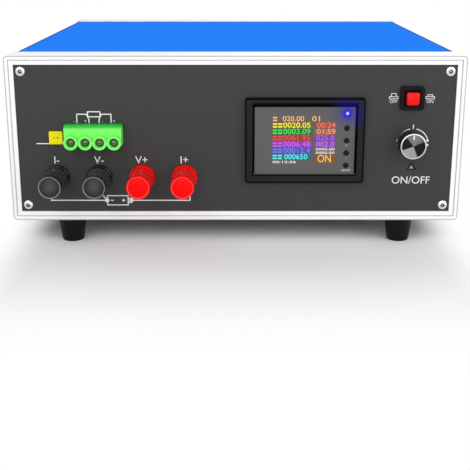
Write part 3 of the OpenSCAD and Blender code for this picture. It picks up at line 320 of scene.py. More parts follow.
finishOf = [  # finish and its CAD nodes
    (bezelWhite, "front_bezel rear_bezel"),
    (panelGrey, "front_panel rear_panel"),
    (coverBlue, "top_cover bottom_tray"),
    (footRubber, "feet"),
    (screwZinc, "foot_screws cover_screws panel_screws cooler_screws board_screws"),
    (guardHead, "guard_screws"),
    (clampSteel, "terminal_screws"),
    (guardPlated, "fan_guard_left fan_guard_right"),
    (fanBlack, "fan_frame_left fan_frame_right"),
    (rotorBlack, "fan_rotor_left fan_rotor_right"),
    (sinkAluminium, "heat_sink_left heat_sink_right"),
    (spacerBrass, "standoffs"),
    (boardGreen, "power_board_left power_board_right control_board display_board"),
    (deviceBlack, "mosfets"),
    (dividerSteel, "air_divider"),
    (controlMix, "control_parts"),
    (leadRubber, "power_leads"),
    (displayBlack, "display_bezel"),
    (windowGrey, "display_window"),
    (lampBlue, "status_led"),
    (keyBlack, "display_key_1 display_key_2 display_key_3 display_key_4"),
    (switchBlack, "power_switch_body"),
    (buttonRed, "power_button"),
    (encoderSteel, "encoder_body encoder_nut encoder_plunger encoder_shaft"),
    (knobDark, "encoder_knob"),
    (terminalGreen, "terminal_header terminal_plug"),
    (socketYellow, "sensor_socket"),
    (postBlack, "post_bases_black post_knob_1 post_knob_2"),
    (postRed, "post_bases_red post_knob_3 post_knob_4"),
    (postBrass, "post_studs post_collar_1 post_collar_2 post_collar_3 post_collar_4"),
    (jackBlack, "dc_jack"),
]
for mat, names in finishOf:
    for name in names.split():
        data = nodes[name].data
        data.materials.clear()
        data.materials.append(mat)
left = set(nodes) - {n for _, names in finishOf for n in names.split()}
print("finishes:", len(finishOf), "on CAD nodes, without one:", sorted(left))


# places, all from the CAD boxes
def middle(node):
    low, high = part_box(node)
    return (low + high) / 2


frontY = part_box("front_panel")[0].y  # outer face of the front panel
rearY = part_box("rear_panel")[1].y
panelMid = middle("front_panel")


def onFront(x, z, out=0.0):  # local x right, y up, z out of the front panel
    return Matrix(((1, 0, 0, x), (0, 0, -1, frontY - out), (0, 1, 0, z), (0, 0, 0, 1)))


def onRear(x, z, out=0.0):
    return Matrix(((-1, 0, 0, x), (0, 0, 1, rearY + out), (0, 1, 0, z), (0, 0, 0, 1)))


# tones that follow a place on the piece, depths in millimetres
def mixedTone(mat, fac, colour):
    tree = mat.node_tree
    bsdf = tree.nodes["Principled BSDF"]
    base = bsdf.inputs["Base Color"].links[0].from_socket
    mix = addNode(tree, "ShaderNodeMix", {0: fac, 6: base, 7: colour}, data_type="RGBA")
    feed(tree, bsdf, {"Base Color": mix.outputs[2]})


def toneTools(mat):  # its tree, a maker of sums on it and the object axes
    tree = mat.node_tree
    return tree, partial(mathNode, tree), objectAxes(tree)


def inFrom(edge, depths):  # the places at these depths in from an edge
    return [edge - depth * mm for depth in depths]


# the fold colour is painted shade along the top folds of the cover
coverSet = {"foldShadeIn": (3.6, 3.0), "foldShadeDown": (1.6, 1.3), "foldShade": (0.006, 0.045, 0.24, 1),
            "insideFrom": (0.55, 0.75), "inside": (0.012, 0.012, 0.013, 1)}


def toneCover():  # painted shade darkens the blue along the two folds; the inside and underneath are dark
    tree, calc, axes = toneTools(coverBlue)
    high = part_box("top_cover")[1]
    side = calc("ABSOLUTE", axes["X"])
    for across, down, tone in (("foldShadeIn", "foldShadeDown", "foldShade"), ("insideFrom", "insideFrom", "inside")):
        aside = rise(tree, side, *inFrom(high.x, coverSet[across]))
        level = rise(tree, axes["Z"], *inFrom(high.z, coverSet[down]))
        mixedTone(coverBlue, calc("MULTIPLY", aside, level), coverSet[tone])


# the top colour is painted shade along the top of the terminal block
blockSet = {"screws": 4, "topShadeDown": (2.2, 1.0), "top": (0.01, 0.52, 0.03, 1),
            "wellShadeSpan": (0.52, 0.88), "wellShade": (0.004, 0.05, 0.008, 1)}  # the span in shares of a screw's radius; the well colour is painted shade in the screws' wells


def shadeHeaderTop():  # painted shade: the block is deeper green along its top
    tree = terminalGreen.node_tree
    depths = inFrom(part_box("terminal_header")[1].z, blockSet["topShadeDown"])
    mixedTone(terminalGreen, rise(tree, objectAxes(tree)["Z"], *depths), blockSet["top"])


def shadeClampWells():  # painted shade: the clamp screws are darker where they go down into their wells
    tree, calc, axes = toneTools(clampSteel)
    low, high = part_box("terminal_screws")
    radius = (high.z - low.z) / 2
    pitch = (high.x - low.x - 2 * radius) / (blockSet["screws"] - 1)
    across = calc("WRAP", calc("SUBTRACT", axes["X"], low.x + radius), pitch / 2, -pitch / 2)
    up = calc("SUBTRACT", axes["Z"], (low.z + high.z) / 2)
    away = calc("SQRT", calc("ADD", calc("MULTIPLY", across, across), calc("MULTIPLY", up, up)))
    start, full = (share * radius for share in blockSet["wellShadeSpan"])
    mixedTone(clampSteel, rise(tree, away, start, full), blockSet["wellShade"])


frameSet = {"edge": 0.9, "wide": 6.6, "slope": 1.5, "topSlope": 3.3, "sill": 0.8, "soft": 0.3,
            "edgeTone": (0.001, 0.001, 0.001, 1), "slopeShade": (0.0008, 0.0008, 0.0008, 1),
            "sillHighlight": (0.055, 0.055, 0.055, 1)}


def toneFrame():  # the display's frame has a black edge, painted shade on the slope round the window, wider along the top, and a painted highlight on the paler sill
    tree, calc, axes = toneTools(displayBlack)
    low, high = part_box("display_bezel")
    mid, half = (low + high) / 2, (high - low) / 2
    up = calc("SUBTRACT", axes["Z"], mid.z)
    inX = calc("SUBTRACT", half.x, calc("ABSOLUTE", calc("SUBTRACT", axes["X"], mid.x)))
    inZ = calc("SUBTRACT", half.z, calc("ABSOLUTE", up))
    inward = calc("MINIMUM", inX, inZ)
    wide, soft, edge = (frameSet[key] * mm for key in ("wide", "soft", "edge"))

    def within(value, key):  # the inner part of the frame, this deep
        start = wide - frameSet[key] * mm
        return rise(tree, value, start - soft / 2, start + soft / 2)

    window = half.z - wide
    above, below = rise(tree, up, window - soft, window), rise(tree, up, -window + soft, -window)
    top = calc("MULTIPLY", calc("MULTIPLY", within(inZ, "topSlope"), within(inX, "slope")), above)
    # painted shade on the slope round the window, wider along the top
    mixedTone(displayBlack, calc("MAXIMUM", within(inward, "slope"), top), frameSet["slopeShade"])
    # painted highlight on the sill under the window
    mixedTone(displayBlack, calc("MULTIPLY", within(inward, "sill"), below), frameSet["sillHighlight"])
    mixedTone(displayBlack, rise(tree, inward, edge + soft, edge), frameSet["edgeTone"])


buttonSet = {"span": (0.72, 1.0), "rim": (0.30, 0.001, 0.001, 1)}  # the span in shares of half the width; the rim colour is painted shade


def shadeButtonRim():  # painted shade: the power button darkens towards its rim
    tree, calc, axes = toneTools(buttonRed)
    low, high = boxOf([v.co for v in nodes["power_button"].data.vertices])
    mid, half = (low + high) / 2, (high - low) / 2
    across, up = calc("SUBTRACT", axes["X"], mid.x), calc("SUBTRACT", axes["Z"], mid.z)
    away = calc("MAXIMUM", calc("ABSOLUTE", across), calc("ABSOLUTE", up))
    start, full = (share * half.x for share in buttonSet["span"])
    mixedTone(buttonRed, rise(tree, away, start, full), buttonSet["rim"])


toneCover()
toneFrame()
shadeButtonRim()
shadeHeaderTop()
shadeClampWells()
print("place tones made")


# mesh makers
meshSet = {"sharpAngle": 35.0, "sides": 64, "discSides": 24, "fontSteps": 4, "print": 0.06, "printLift": 0.0015}


def addPiece(name, bm, mats, body, standsFor=()):
    bmesh.ops.recalc_face_normals(bm, faces=bm.faces)
    mesh = bpy.data.meshes.new(name)
    bm.to_mesh(mesh)
    bm.free()
    mesh.shade_smooth()
    mesh.set_sharp_from_angle(angle=math.radians(meshSet["sharpAngle"]))
    for mat in mats:
        mesh.materials.append(mat)
    piece = stand(name, mesh)
    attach(piece, body)
    if standsFor:
        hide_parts(*standsFor)


def turned(bm, outline, place, sides=meshSet["sides"], matIndex=0, accent=()):  # (radius, height), accent steps get 1
    rings = []
    for radius, height in outline:
        if radius <= 1e-9:
            rings.append([bm.verts.new(place @ Vector((0, 0, height)))])
        else:
            rings.append([bm.verts.new(place @ Vector((radius * math.cos(a), radius * math.sin(a), height)))
                          for a in (2 * math.pi * i / sides for i in range(sides))])
    pairs = list(zip(rings, rings[1:]))
    if len(rings[0]) > 1 and len(rings[-1]) > 1:
        pairs.append((rings[-1], rings[0]))
    for step, (low, high) in enumerate(pairs):
        for i in range(sides):
            j = (i + 1) % sides
            if len(low) == 1:
                face = bm.faces.new((low[0], high[i], high[j]))
            elif len(high) == 1:
                face = bm.faces.new((low[i], low[j], high[0]))
            else:
                face = bm.faces.new((low[i], low[j], high[j], high[i]))
            face.material_index = 1 if step in accent else matIndex


def scaled(outline):  # from millimetres
    return [(a * mm, h * mm) for a, h in outline]


def disc(bm, place, radius):
    half = meshSet["print"] / 2 * mm
    turned(bm, [(0, -half), (radius, -half), (radius, half), (0, half)], place, meshSet["discSides"])


def joinMesh(bm, mesh, place, matIndex=0):
    start = len(bm.verts)
    first = len(bm.faces)
    bm.from_mesh(mesh)
    bm.verts.ensure_lookup_table()
    bm.faces.ensure_lookup_table()
    bmesh.ops.transform(bm, matrix=place, verts=bm.verts[start:])
    for face in bm.faces[first:]:
        face.material_index = matIndex


def plainMesh(holder):  # the finished mesh of a helper object, which goes
    graph = bpy.context.evaluated_depsgraph_get()
    mesh = bpy.data.meshes.new_from_object(holder.evaluated_get(graph))
    bpy.data.objects.remove(holder)
    return mesh


def words(body, size, depth, stroke=0.0, width=0.0):  # flat lettering as a closed mesh, in millimetres
    curve = bpy.data.curves.new("words", "FONT")
    curve.body = body
    curve.size = size * mm
    curve.align_x = "CENTER"
    curve.align_y = "CENTER"
    curve.extrude = depth * mm
    curve.offset = stroke * mm
    curve.resolution_u = meshSet["fontSteps"]
    mesh = plainMesh(stand("words", curve))
    bpy.data.curves.remove(curve)
    if width:  # stretched across to the width asked for
        across = [v.co.x for v in mesh.vertices]
        mesh.transform(Matrix.Diagonal((width * mm / (max(across) - min(across)), 1, 1, 1)))
    return mesh


def prism(bm, place, corners, depth, matIndex=0):  # a flat block on the place, in metres
    back, face = ([bm.verts.new(place @ Vector((x, y, z))) for x, y in corners] for z in (0.0, depth))
    turns = [(i, (i + 1) % len(corners)) for i in range(len(corners))]
    made = [bm.faces.new(face), bm.faces.new(back[::-1])]
    made += [bm.faces.new((back[i], back[j], face[j], face[i])) for i, j in turns]
    for side in made:
        side.material_index = matIndex


def slab(bm, place, left, right, low, high, depth, matIndex=0):
    prism(bm, place, [(left, low), (right, low), (right, high), (left, high)], depth, matIndex)


# geometry node trees
def newTree(name, inputs):
    tree = bpy.data.node_groups.new(name, "GeometryNodeTree")
    tree.interface.new_socket("Geometry", in_out="INPUT", socket_type="NodeSocketGeometry")
    ids = {}
    for label, kind in {**inputs, "Finish": "Material"}.items():
        ids[label] = tree.interface.new_socket(label, in_out="INPUT", socket_type="NodeSocket" + kind).identifier
    tree.interface.new_socket("Geometry", in_out="OUTPUT", socket_type="NodeSocketGeometry")
    return tree, addNode(tree, "NodeGroupInput").outputs, ids


def closeTree(tree, given, last):  # every tree ends in Realize Instances and Set Material
    real = addNode(tree, "GeometryNodeRealizeInstances", {0: last})
    dress = addNode(tree, "GeometryNodeSetMaterial", {"Geometry": real.outputs[0], "Material": given["Finish"]})
    addNode(tree, "NodeGroupOutput", {0: dress.outputs["Geometry"]})


def grow(treeSet, values, data):  # runs a tree on the data and gives back a plain mesh
    tree, ids = treeSet
    holder = stand("grown", data)
    mod = holder.modifiers.new("tree", "NODES")
    mod.node_group = tree
    for label, value in values.items():
        mod[ids[label]] = value
    return plainMesh(holder)


def printTree():  # a printed line of even width along each curve
    tree, given, ids = newTree("printedLine", {"Width": "Float", "Thickness": "Float"})
    strip = addNode(tree, "GeometryNodeCurvePrimitiveQuadrilateral",
                    {"Width": given["Width"], "Height": given["Thickness"]}, mode="RECTANGLE")
    sweep = addNode(tree, "GeometryNodeCurveToMesh", {"Curve": given["Geometry"], "Fill Caps": True,
                                                      "Profile Curve": strip.outputs["Curve"]})
    closeTree(tree, given, sweep.outputs["Mesh"])
    return tree, ids


def ribTree():  # round ribs standing in a ring
    tree, given, ids = newTree("ribRing", {"Count": "Int", "Ring Radius": "Float", "Rib Radius": "Float",
                                           "Length": "Float", "Lift": "Float"})
    ring = addNode(tree, "GeometryNodeMeshCircle", {"Vertices": given["Count"], "Radius": given["Ring Radius"]})
    rib = addNode(tree, "GeometryNodeMeshCylinder", {"Vertices": 8, "Radius": given["Rib Radius"],
                                                     "Depth": given["Length"]})
    put = addNode(tree, "GeometryNodeInstanceOnPoints", {"Points": ring.outputs["Mesh"],
                                                         "Instance": rib.outputs["Mesh"]})
    up = addNode(tree, "ShaderNodeCombineXYZ", {"Z": given["Lift"]})
    lift = addNode(tree, "GeometryNodeTransform", {"Geometry": put.outputs["Instances"],
                                                   "Translation": up.outputs["Vector"]})
    closeTree(tree, given, lift.outputs["Geometry"])
    return tree, ids


def socketTree():  # a six-sided plate on every point, facing up
    tree, given, ids = newTree("screwSockets", {"Radius": "Float", "Thickness": "Float"})
    plate = addNode(tree, "GeometryNodeMeshCylinder", {"Vertices": 6, "Radius": given["Radius"],
                                                       "Depth": given["Thickness"]})
    put = addNode(tree, "GeometryNodeInstanceOnPoints", {"Points": given["Geometry"],
                                                         "Instance": plate.outputs["Mesh"]})
    closeTree(tree, given, put.outputs["Instances"])
    return tree, ids


printed, ribRing, socketPlates = printTree(), ribTree(), socketTree()


def lineMesh(paths, width, mat, thick=meshSet["print"]):  # paths in millimetres across and up
    curve = bpy.data.curves.new("lines", "CURVE")
    curve.dimensions = "3D"
    curve.twist_mode = "Z_UP"
    for index, path in enumerate(paths):  # each line lies a hair above the one before, so that crossings stay clean
        spline = curve.splines.new("POLY")
        spline.points.add(len(path) - 1)
        for point, (x, y) in zip(spline.points, path):
            point.co = (x * mm, y * mm, index * meshSet["printLift"] * mm, 1.0)
    mesh = grow(printed, {"Width": width * mm, "Thickness": thick * mm, "Finish": mat}, curve)
    bpy.data.curves.remove(curve)
    return mesh


def addRibs(bm, place, ribs, radius, length, mat, matIndex):  # ribs round a grip, sizes in millimetres
    size = length - ribs["ribShort"]
    grown = grow(ribRing, {"Count": ribs["ribs"], "Ring Radius": (radius - ribs["ribIn"]) * mm,
                           "Rib Radius": ribs["ribRadius"] * mm, "Length": size * mm,
                           "Lift": (ribs["ribFrom"] + size / 2) * mm, "Finish": mat}, bpy.data.meshes.new("seed"))
    joinMesh(bm, grown, place, matIndex)


# paths of printed lines
def arcPath(x, y, radius, fromAngle, toAngle, steps=24):
    angles = [math.radians(fromAngle + (toAngle - fromAngle) * i / steps) for i in range(steps + 1)]
    return [(x + radius * math.cos(a), y + radius * math.sin(a)) for a in angles]


def boxPaths(x, half, rows, corner):  # two rows, and two uprights that close the corners
    paths = [[(x - half, z), (x + half, z)] for z in rows]
    return paths + [[(x + side, min(rows) - corner), (x + side, max(rows) + corner)] for side in (-half, half)]


def signPaths(x, z, minus, plus, half):  # a minus and a plus on one row
    mid = x + sum(plus) / 2
    return [[(x + a, z), (x + b, z)] for a, b in (minus, plus)] + [[(mid, z - half), (mid, z + half)]]


# printing on the front panel, in millimetres
legendSet = {"ink": 0.03, "line": 0.75, "dot": 0.9, "postWords": 7.8, "postWordsUp": 12.6, "panelWords": 7.7,
             "smallWords": 3.2, "signWords": 3.4, "leaderUp": 0.2, "leaderLeft": (-9.5, -0.2),
             "leaderRight": (0.2, 1.4)}
wiringSet = {"down": 17.4, "cellLeft": 2.9, "cell": (7.5, 3.5), "corner": 0.37, "ends": (-5.3, 3.8), "endUp": 3.6,
             "wireTo": (-7.9, 11.0), "minus": (-5.0, -3.0), "plus": (3.1, 5.3), "plusHalf": 1.1, "leadUp": (0.4, 3.6),
             "leads": ((-8.0, -10.6), (10.4, 13.0)), "ring": (9.3, 1.7), "joints": ((-7.7, 1.6), (9.8, 1.25))}
sensingSet = {"up": 18.3, "wire": 12.2, "wireTo": 4.6, "corner": 0.37, "footUp": 0.4, "box": (4.4, 1.8),
              "boxCorner": 0.35, "taps": ((5.2, -0.4), (3.6, -3.6)), "signUp": 1.6,
              "signs": (("-", -14.2), ("+", -6.1), ("-", 6.1), ("+", 14.4))}
dialSet = {"right": 2.1, "down": 1.2, "radius": 11.0, "arcs": ((12, 78), (102, 168)), "tick": (10.8, 14.0),
           "signDown": 0.9, "minus": (-11.4, -9.9), "plus": (9.9, 11.6), "plusHalf": 0.9, "dotAside": 10.7,
           "dotUp": 2.4, "wordsDown": 28.4, "pointerDown": 18.0,
           "pointer": ((3.9, -2.4, 3.6, 1.0, 2), (1.7, -1.5, 1.2, 1.5, 1))}  # half, foot, tip, coats of ink, material
markSet = {"aside": 12.9, "half": 3.1, "rows": (-0.6, 0.9), "corner": 0.2, "headHalf": 1.7, "line": 0.45,
           "wordsDown": 2.6, "signs": (("OFF", -1, 3.1), ("ON", 1, 2.3))}  # word, side, height of the head


def wiringPaths(posts, cell, wire):  # a cell between the outer posts, sensed by the inner two
    paths = []
    for post, aside, inner in zip((posts[0], posts[-1]), wiringSet["ends"], wiringSet["wireTo"]):
        end = post.x / mm + aside
        paths += [[(end, wire + wiringSet["endUp"]), (end, wire - wiringSet["corner"])],
                  [(end, wire), (cell + inner, wire)]]
    half, tall = wiringSet["cell"]
    paths += boxPaths(cell, half, (wire + tall, wire - tall), wiringSet["corner"])
    paths += signPaths(cell, wire, wiringSet["minus"], wiringSet["plus"], wiringSet["plusHalf"])
    low, high = wiringSet["leadUp"]
    paths += [[(cell + a, wire + low), (cell + b, wire + high)] for a, b in wiringSet["leads"]]
    across, radius = wiringSet["ring"]
    return paths + [arcPath(cell + across, wire, radius, 0, 360)]


def sensingPaths(mid, top):  # over the block
    boxZ, foot = panelMid.z / mm + sensingSet["up"], top + sensingSet["footUp"]
    paths, taps = [], []
    for side in (-1, 1):
        wire = mid + side * sensingSet["wire"]
        paths += [[(wire, foot), (wire, boxZ + sensingSet["corner"])],
                  [(wire, boxZ), (mid + side * sensingSet["wireTo"], boxZ)]]
        tap = [(mid + side * across, boxZ + up) for across, up in sensingSet["taps"]]
        taps.append(tap + [(tap[-1][0], foot)])
    half, tall = sensingSet["box"]
    return paths + boxPaths(mid, half, (boxZ + tall, boxZ - tall), sensingSet["boxCorner"]) + taps


def leaderPaths():  # under the sensor socket
    low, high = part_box("sensor_socket")
    z = low.z / mm + legendSet["leaderUp"]
    return [[(x / mm + a, z) for a in legendSet[key]] for x, key in ((low.x, "leaderLeft"), (high.x, "leaderRight"))]


def dialPaths(x, z):  # round the knob
    paths = [arcPath(x, z, dialSet["radius"], *span) for span in dialSet["arcs"]]
    paths.append([(x, z + up) for up in dialSet["tick"]])
    return paths + signPaths(x, z - dialSet["signDown"], dialSet["minus"], dialSet["plus"], dialSet["plusHalf"])


def markPaths(x, z, head):  # a push button's mark beside the switch
    rows = [z + row for row in markSet["rows"]]
    half, top = markSet["headHalf"], z + head
    return boxPaths(x, markSet["half"], rows, markSet["corner"]) + [
        [(x - half, rows[-1]), (x - half, top)], [(x + half, rows[-1]), (x + half, top)],
        [(x - half - markSet["corner"], top), (x + half + markSet["corner"], top)]]


def makeFrontLegend():
    bm = bmesh.new()
    ink = legendSet["ink"] * mm

    def put(text, size, x, z):
        joinMesh(bm, words(text, legendSet[size], legendSet["ink"]), onFront(x * mm, z * mm, ink))

    posts = [middle("post_knob_%d" % i) for i in range(1, 5)]
    for text, post in zip(("I-", "V-", "V+", "I+"), posts):
        put(text, "postWords", post.x / mm, post.z / mm + legendSet["postWordsUp"])
    wire = posts[0].z / mm - wiringSet["down"]
    cell = (posts[1].x + posts[2].x) / 2 / mm - wiringSet["cellLeft"]
    low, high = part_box("terminal_header")
    mid, top = (low.x + high.x) / 2 / mm, high.z / mm
    for sign, across in sensingSet["signs"]:
        put(sign, "signWords", mid + across, top + sensingSet["signUp"])
    knob = middle("encoder_knob") / mm
    kx, kz = knob.x + dialSet["right"], knob.z - dialSet["down"]
    paths = wiringPaths(posts, cell, wire) + sensingPaths(mid, top) + leaderPaths() + dialPaths(kx, kz)
    joinMesh(bm, lineMesh(paths, legendSet["line"], inkWhite), onFront(0, 0, ink))
    dots = [(kx + side * dialSet["dotAside"], kz + dialSet["dotUp"], legendSet["dot"]) for side in (-1, 1)]
    dots += [(cell + across, wire, radius) for across, radius in wiringSet["joints"]]
    for x, z, radius in dots:
        disc(bm, onFront(x * mm, z * mm, ink), radius * mm)
    put("ON/OFF", "panelWords", kx, knob.z - dialSet["wordsDown"])
    for half, foot, tip, coats, tone in dialSet["pointer"]:  # under the knob
        prism(bm, onFront(kx * mm, (knob.z - dialSet["pointerDown"]) * mm),
              scaled([(-half, foot), (half, foot), (0, tip)]), coats * ink, tone)
    switch = middle("power_switch_body") / mm
    marks = []
    for text, side, head in markSet["signs"]:  # out for OFF, in for ON
        x = switch.x + side * markSet["aside"]
        marks += markPaths(x, switch.z, head)
        put(text, "smallWords", x, switch.z - markSet["wordsDown"])
    joinMesh(bm, lineMesh(marks, markSet["line"], inkWhite), onFront(0, 0, ink))
    addPiece("frontLegend", bm, [inkWhite, markGrey, markDark], "case")


makeFrontLegend()
print("front legend printed")

# digits on the screen, in millimetres
screenSet = {"top": 15.7, "rowStep": 4.62, "digits": 5.3, "thick": 0.02, "stroke": 0.05, "inkGlow": 0.85,
             "inkBase": 0.15, "bandBase": 0.10, "bandHalf": 0.46, "bigBandHalf": 0.75, "bigFrom": 1.2,
             "blockIn": 0.2, "blockStep": 3.7, "blockWide": 3.0, "capHeight": 0.7,
             "blockRows": ((0.12, 0.42), (-0.42, -0.12))}  # in shares of the capital height
screenColumns = {"left": (-23.0, 5.2), "right": (7.2, 22.2)}  # from the window's middle
screenRows = [  # column, row, words, sRGB colour, size, stretch from and to, label blocks, band strength
    ("left", 0.0, "020.00", (255, 176, 116), 1.0, (-16.0, -0.6), 1, 0.0),
    ("left", 1.0, "0020.05", (255, 236, 50), 1.0, (-15.4, 4.0), 2, 0.03),
    ("left", 2.0, "0003.09", (50, 235, 60), 1.0, (-15.4, 4.0), 2, 0.03),
    ("left", 3.0, "0061.95", (240, 60, 66), 1.0, (-15.4, 4.0), 2, 0.22),
    ("left", 4.0, "0006.48", (200, 86, 250), 1.0, (-15.4, 4.0), 2, 0.22),
    ("left", 5.0, "00012.4", (112, 114, 250), 1.0, (-15.4, 4.0), 2, 0.22),
    ("left", 6.0, "000650", (90, 240, 250), 1.0, (-14.4, 2.2), 2, 0.03),
    ("left", 6.82, "00:12:36", (245, 245, 245), 0.46, (-22.8, -6.0), 0, 0.0),
    ("right", 0.0, "01", (255, 176, 116), 1.0, (5.6, 11.2), 0, 0.0),
    ("right", 1.0, "00:24", (240, 112, 92), 1.0, (8.6, 21.8), 0, 0.20),
    ("right", 2.0, "01:59", (255, 150, 108), 1.0, (8.6, 21.8), 0, 0.20),
    ("right", 3.0, "025.0", (184, 84, 240), 1.0, (8.2, 21.2), 0, 0.20),
    ("right", 4.0, "002.0", (196, 104, 250), 1.0, (8.2, 21.2), 0, 0.20),
    ("right", 4.78, "0000.00", (245, 235, 240), 0.46, (8.0, 21.6), 0, 0.0),
    ("right", 5.34, "0000.00", (245, 235, 240), 0.46, (8.0, 21.6), 0, 0.0),
    ("right", 6.3, "ON", (255, 186, 96), 1.5, (9.6, 19.2), 0, 0.05),
]


def makeScreen():
    low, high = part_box("display_window")
    mid, thick = (low + high) / 2, screenSet["thick"] * mm
    for index, (side, row, text, colour, size, span, blocks, band) in enumerate(screenRows):
        tone = srgb(*colour)
        z = mid.z + (screenSet["top"] - row * screenSet["rowStep"]) * mm
        out = frontY - low.y
        left, right = (x * mm for x in screenColumns[side])
        bm = bmesh.new()
        mats = [glowing("screenInk%02d" % index, tone, screenSet["inkGlow"], screenSet["inkBase"])]
        if band:
            share = screenSet["bandHalf" if size < screenSet["bigFrom"] else "bigBandHalf"]
            half = screenSet["rowStep"] * mm * share
            slab(bm, onFront(mid.x, z, out), left, right, -half, half, thick, 1)
            mats.append(glowing("screenBand%02d" % index, tone, band, screenSet["bandBase"]))
            out += thick
        big, stroke = screenSet["digits"] * size, screenSet["stroke"] * size
        digits = words(text, big, screenSet["thick"], stroke, span[1] - span[0])
        joinMesh(bm, digits, onFront(mid.x + sum(span) / 2 * mm, z, out + thick))
        tall = big * screenSet["capHeight"] * mm
        for block in range(blocks):  # plain blocks where the quantity stands
            x = left + (screenSet["blockIn"] + block * screenSet["blockStep"]) * mm
            for foot, top in screenSet["blockRows"]:
                slab(bm, onFront(mid.x, z, out), x, x + screenSet["blockWide"] * mm, tall * foot, tall * top, thick)
        addPiece("screenDigits%02d" % index, bm, mats, "case")


makeScreen()
print("screen digits made:", len(screenRows))

keySet = {"marks": ((2, "+", 2.4), (3, "-", 2.6), (4, "ON/OFF", 1.7)), "drop": 3.7, "out": 0.02}  # key, sign, size


def makeKeyMarks():
    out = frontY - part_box("display_window")[0].y + keySet["out"] * mm
    bm = bmesh.new()
    for key, text, size in keySet["marks"]:
        mid = middle("display_key_%d" % key)
        joinMesh(bm, words(text, size, keySet["out"]), onFront(mid.x, mid.z - keySet["drop"] * mm, out))
    addPiece("keyMarks", bm, [inkWhite], "case")


makeKeyMarks()
print("key marks made")

# painted shade lines along the edge and the step of the two bezels, in millimetres
stepShadeSet = {  # inward, corner, width, thick, deep
    "outer": (0.52, 2.5, 0.8, 0.6, 0.30),
    "inner": (3.15, 0.0, 0.75, 0.06, 0.77),
}


def loopPaths(halfW, halfH, midZ, corner):  # four sides, with rounded corners where a corner radius is given
    left, right, low, high = -halfW, halfW, midZ - halfH, midZ + halfH
    paths = [[(left + corner, z), (right - corner, z)] for z in (low, high)]
    paths += [[(x, low + corner), (x, high - corner)] for x in (left, right)]
    if corner:
        left, right, low, high = left + corner, right - corner, low + corner, high - corner
        for turn, (x, z) in enumerate(((right, high), (left, high), (left, low), (right, low))):
            paths.append(arcPath(x, z, corner, turn * 90, turn * 90 + 90, 8))
    return paths


def makeBezelShadeLines(name, node, onFace, edgeOut):
    low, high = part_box(node)
    mid, half = (low + high) / 2 / mm, (high - low) / 2 / mm
    bm = bmesh.new()
    for inward, corner, width, thick, deep in stepShadeSet.values():
        paths = loopPaths(half.x - inward, half.z - inward, mid.z, corner)
        joinMesh(bm, lineMesh(paths, width, stepShadeGrey, thick), onFace(0, 0, edgeOut - deep * mm))
    addPiece(name, bm, [stepShadeGrey], "case")


makeBezelShadeLines("frontStepShadeLines", "front_bezel", onFront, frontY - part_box("front_bezel")[0].y)
makeBezelShadeLines("rearStepShadeLines", "rear_bezel", onRear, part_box("rear_bezel")[1].y - rearY)
print("bezel step lines made")

# painted shade: dark plates on the floors of the hex sockets of the panel and cooler screws
screwSet = {"socket": 0.53, "floorUp": 0.4, "crownDrop": 0.0725, "thick": 0.06, "pip": 0.17, "pipUp": 0.1,
            "pipSides": 16}


def solidsOf(node):  # boxes of the separate solids of a CAD node
    bm = bmesh.new()
    bm.from_mesh(nodes[node].data)
    bmesh.ops.transform(bm, matrix=nodes[node].matrix_world, verts=bm.verts)
    bmesh.ops.remove_doubles(bm, verts=bm.verts, dist=1e-7)
    found, seen = [], set()
    for vert in bm.verts:
        if vert in seen:
            continue
        group, queue = [], [vert]
        seen.add(vert)
        while queue:
            here = queue.pop()
            group.append(here.co.copy())
            for edge in here.link_edges:
                other = edge.other_vert(here)
                if other not in seen:
                    seen.add(other)
                    queue.append(other)
        found.append(boxOf(group))
    bm.free()
    return found


def makeSockets(name, node):
    bm = bmesh.new()
    for low, high in solidsOf(node):
        mid = (low + high) / 2
        atFront = mid.y < 0
        radius = (high.x - low.x) / 2
        tall = (frontY - low.y) if atFront else (high.y - rearY)
        floorUp = screwSet["floorUp"] * (tall + screwSet["crownDrop"] * radius)  # the socket's floor over the panel
        place = (onFront if atFront else onRear)(mid.x, mid.z, floorUp + screwSet["thick"] / 2 * mm)
        points = bpy.data.meshes.new("points")
        points.from_pydata([(0, 0, 0)], [], [])
        plate = grow(socketPlates, {"Radius": radius * screwSet["socket"], "Thickness": screwSet["thick"] * mm,
                                    "Finish": recessShade}, points)
        joinMesh(bm, plate, place)
        turned(bm, [(0, 0), (radius * screwSet["pip"], 0), (0, tall * screwSet["pipUp"])], place,
               screwSet["pipSides"], 1)
    addPiece(name, bm, [recessShade, screwZinc], "case")


makeSockets("panelSockets", "panel_screws")
makeSockets("coolerSockets", "cooler_screws")
print("screw sockets made")


def knobPlace(node):  # low corner, middle, radius and length in millimetres, and the place on the panel
    low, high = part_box(node)
    mid = (low + high) / 2
    return low, mid, (high.x - low.x) / 2 / mm, (high.y - low.y) / mm, onFront(mid.x, mid.z, frontY - high.y)


# binding post knobs with ribbed grips, in millimetres; painted highlights on the ribs, the lips and the black caps'
# ends
postSet = {"ribs": 32, "ribRadius": 0.55, "ribIn": 0.62, "ribShort": 7.0, "ribFrom": 1.8, "bore": 3.15,
           "boreOver": 1.0, "sides": 72, "lipHighlightSteps": (12, 13), "domeIn": 1.25, "domeDeep": 1.0, "crownHighlightReach": 0.85,
           "crownRim": (0.006, 0.006, 0.007, 1), "crownHighlight": (0.06, 0.06, 0.062, 1)}


def capFaceSheen(index, mid, radius):  # a black cap's end with a painted highlight, paler in the middle
    mat = finish("capFaceSheen%d" % index, postSet["crownRim"], 0.34, 1500, 0.05, 0.2, spec=0.3)
    mixedTone(mat, roundFade(mat.node_tree, mid, radius * postSet["crownHighlightReach"]), postSet["crownHighlight"])
    return mat


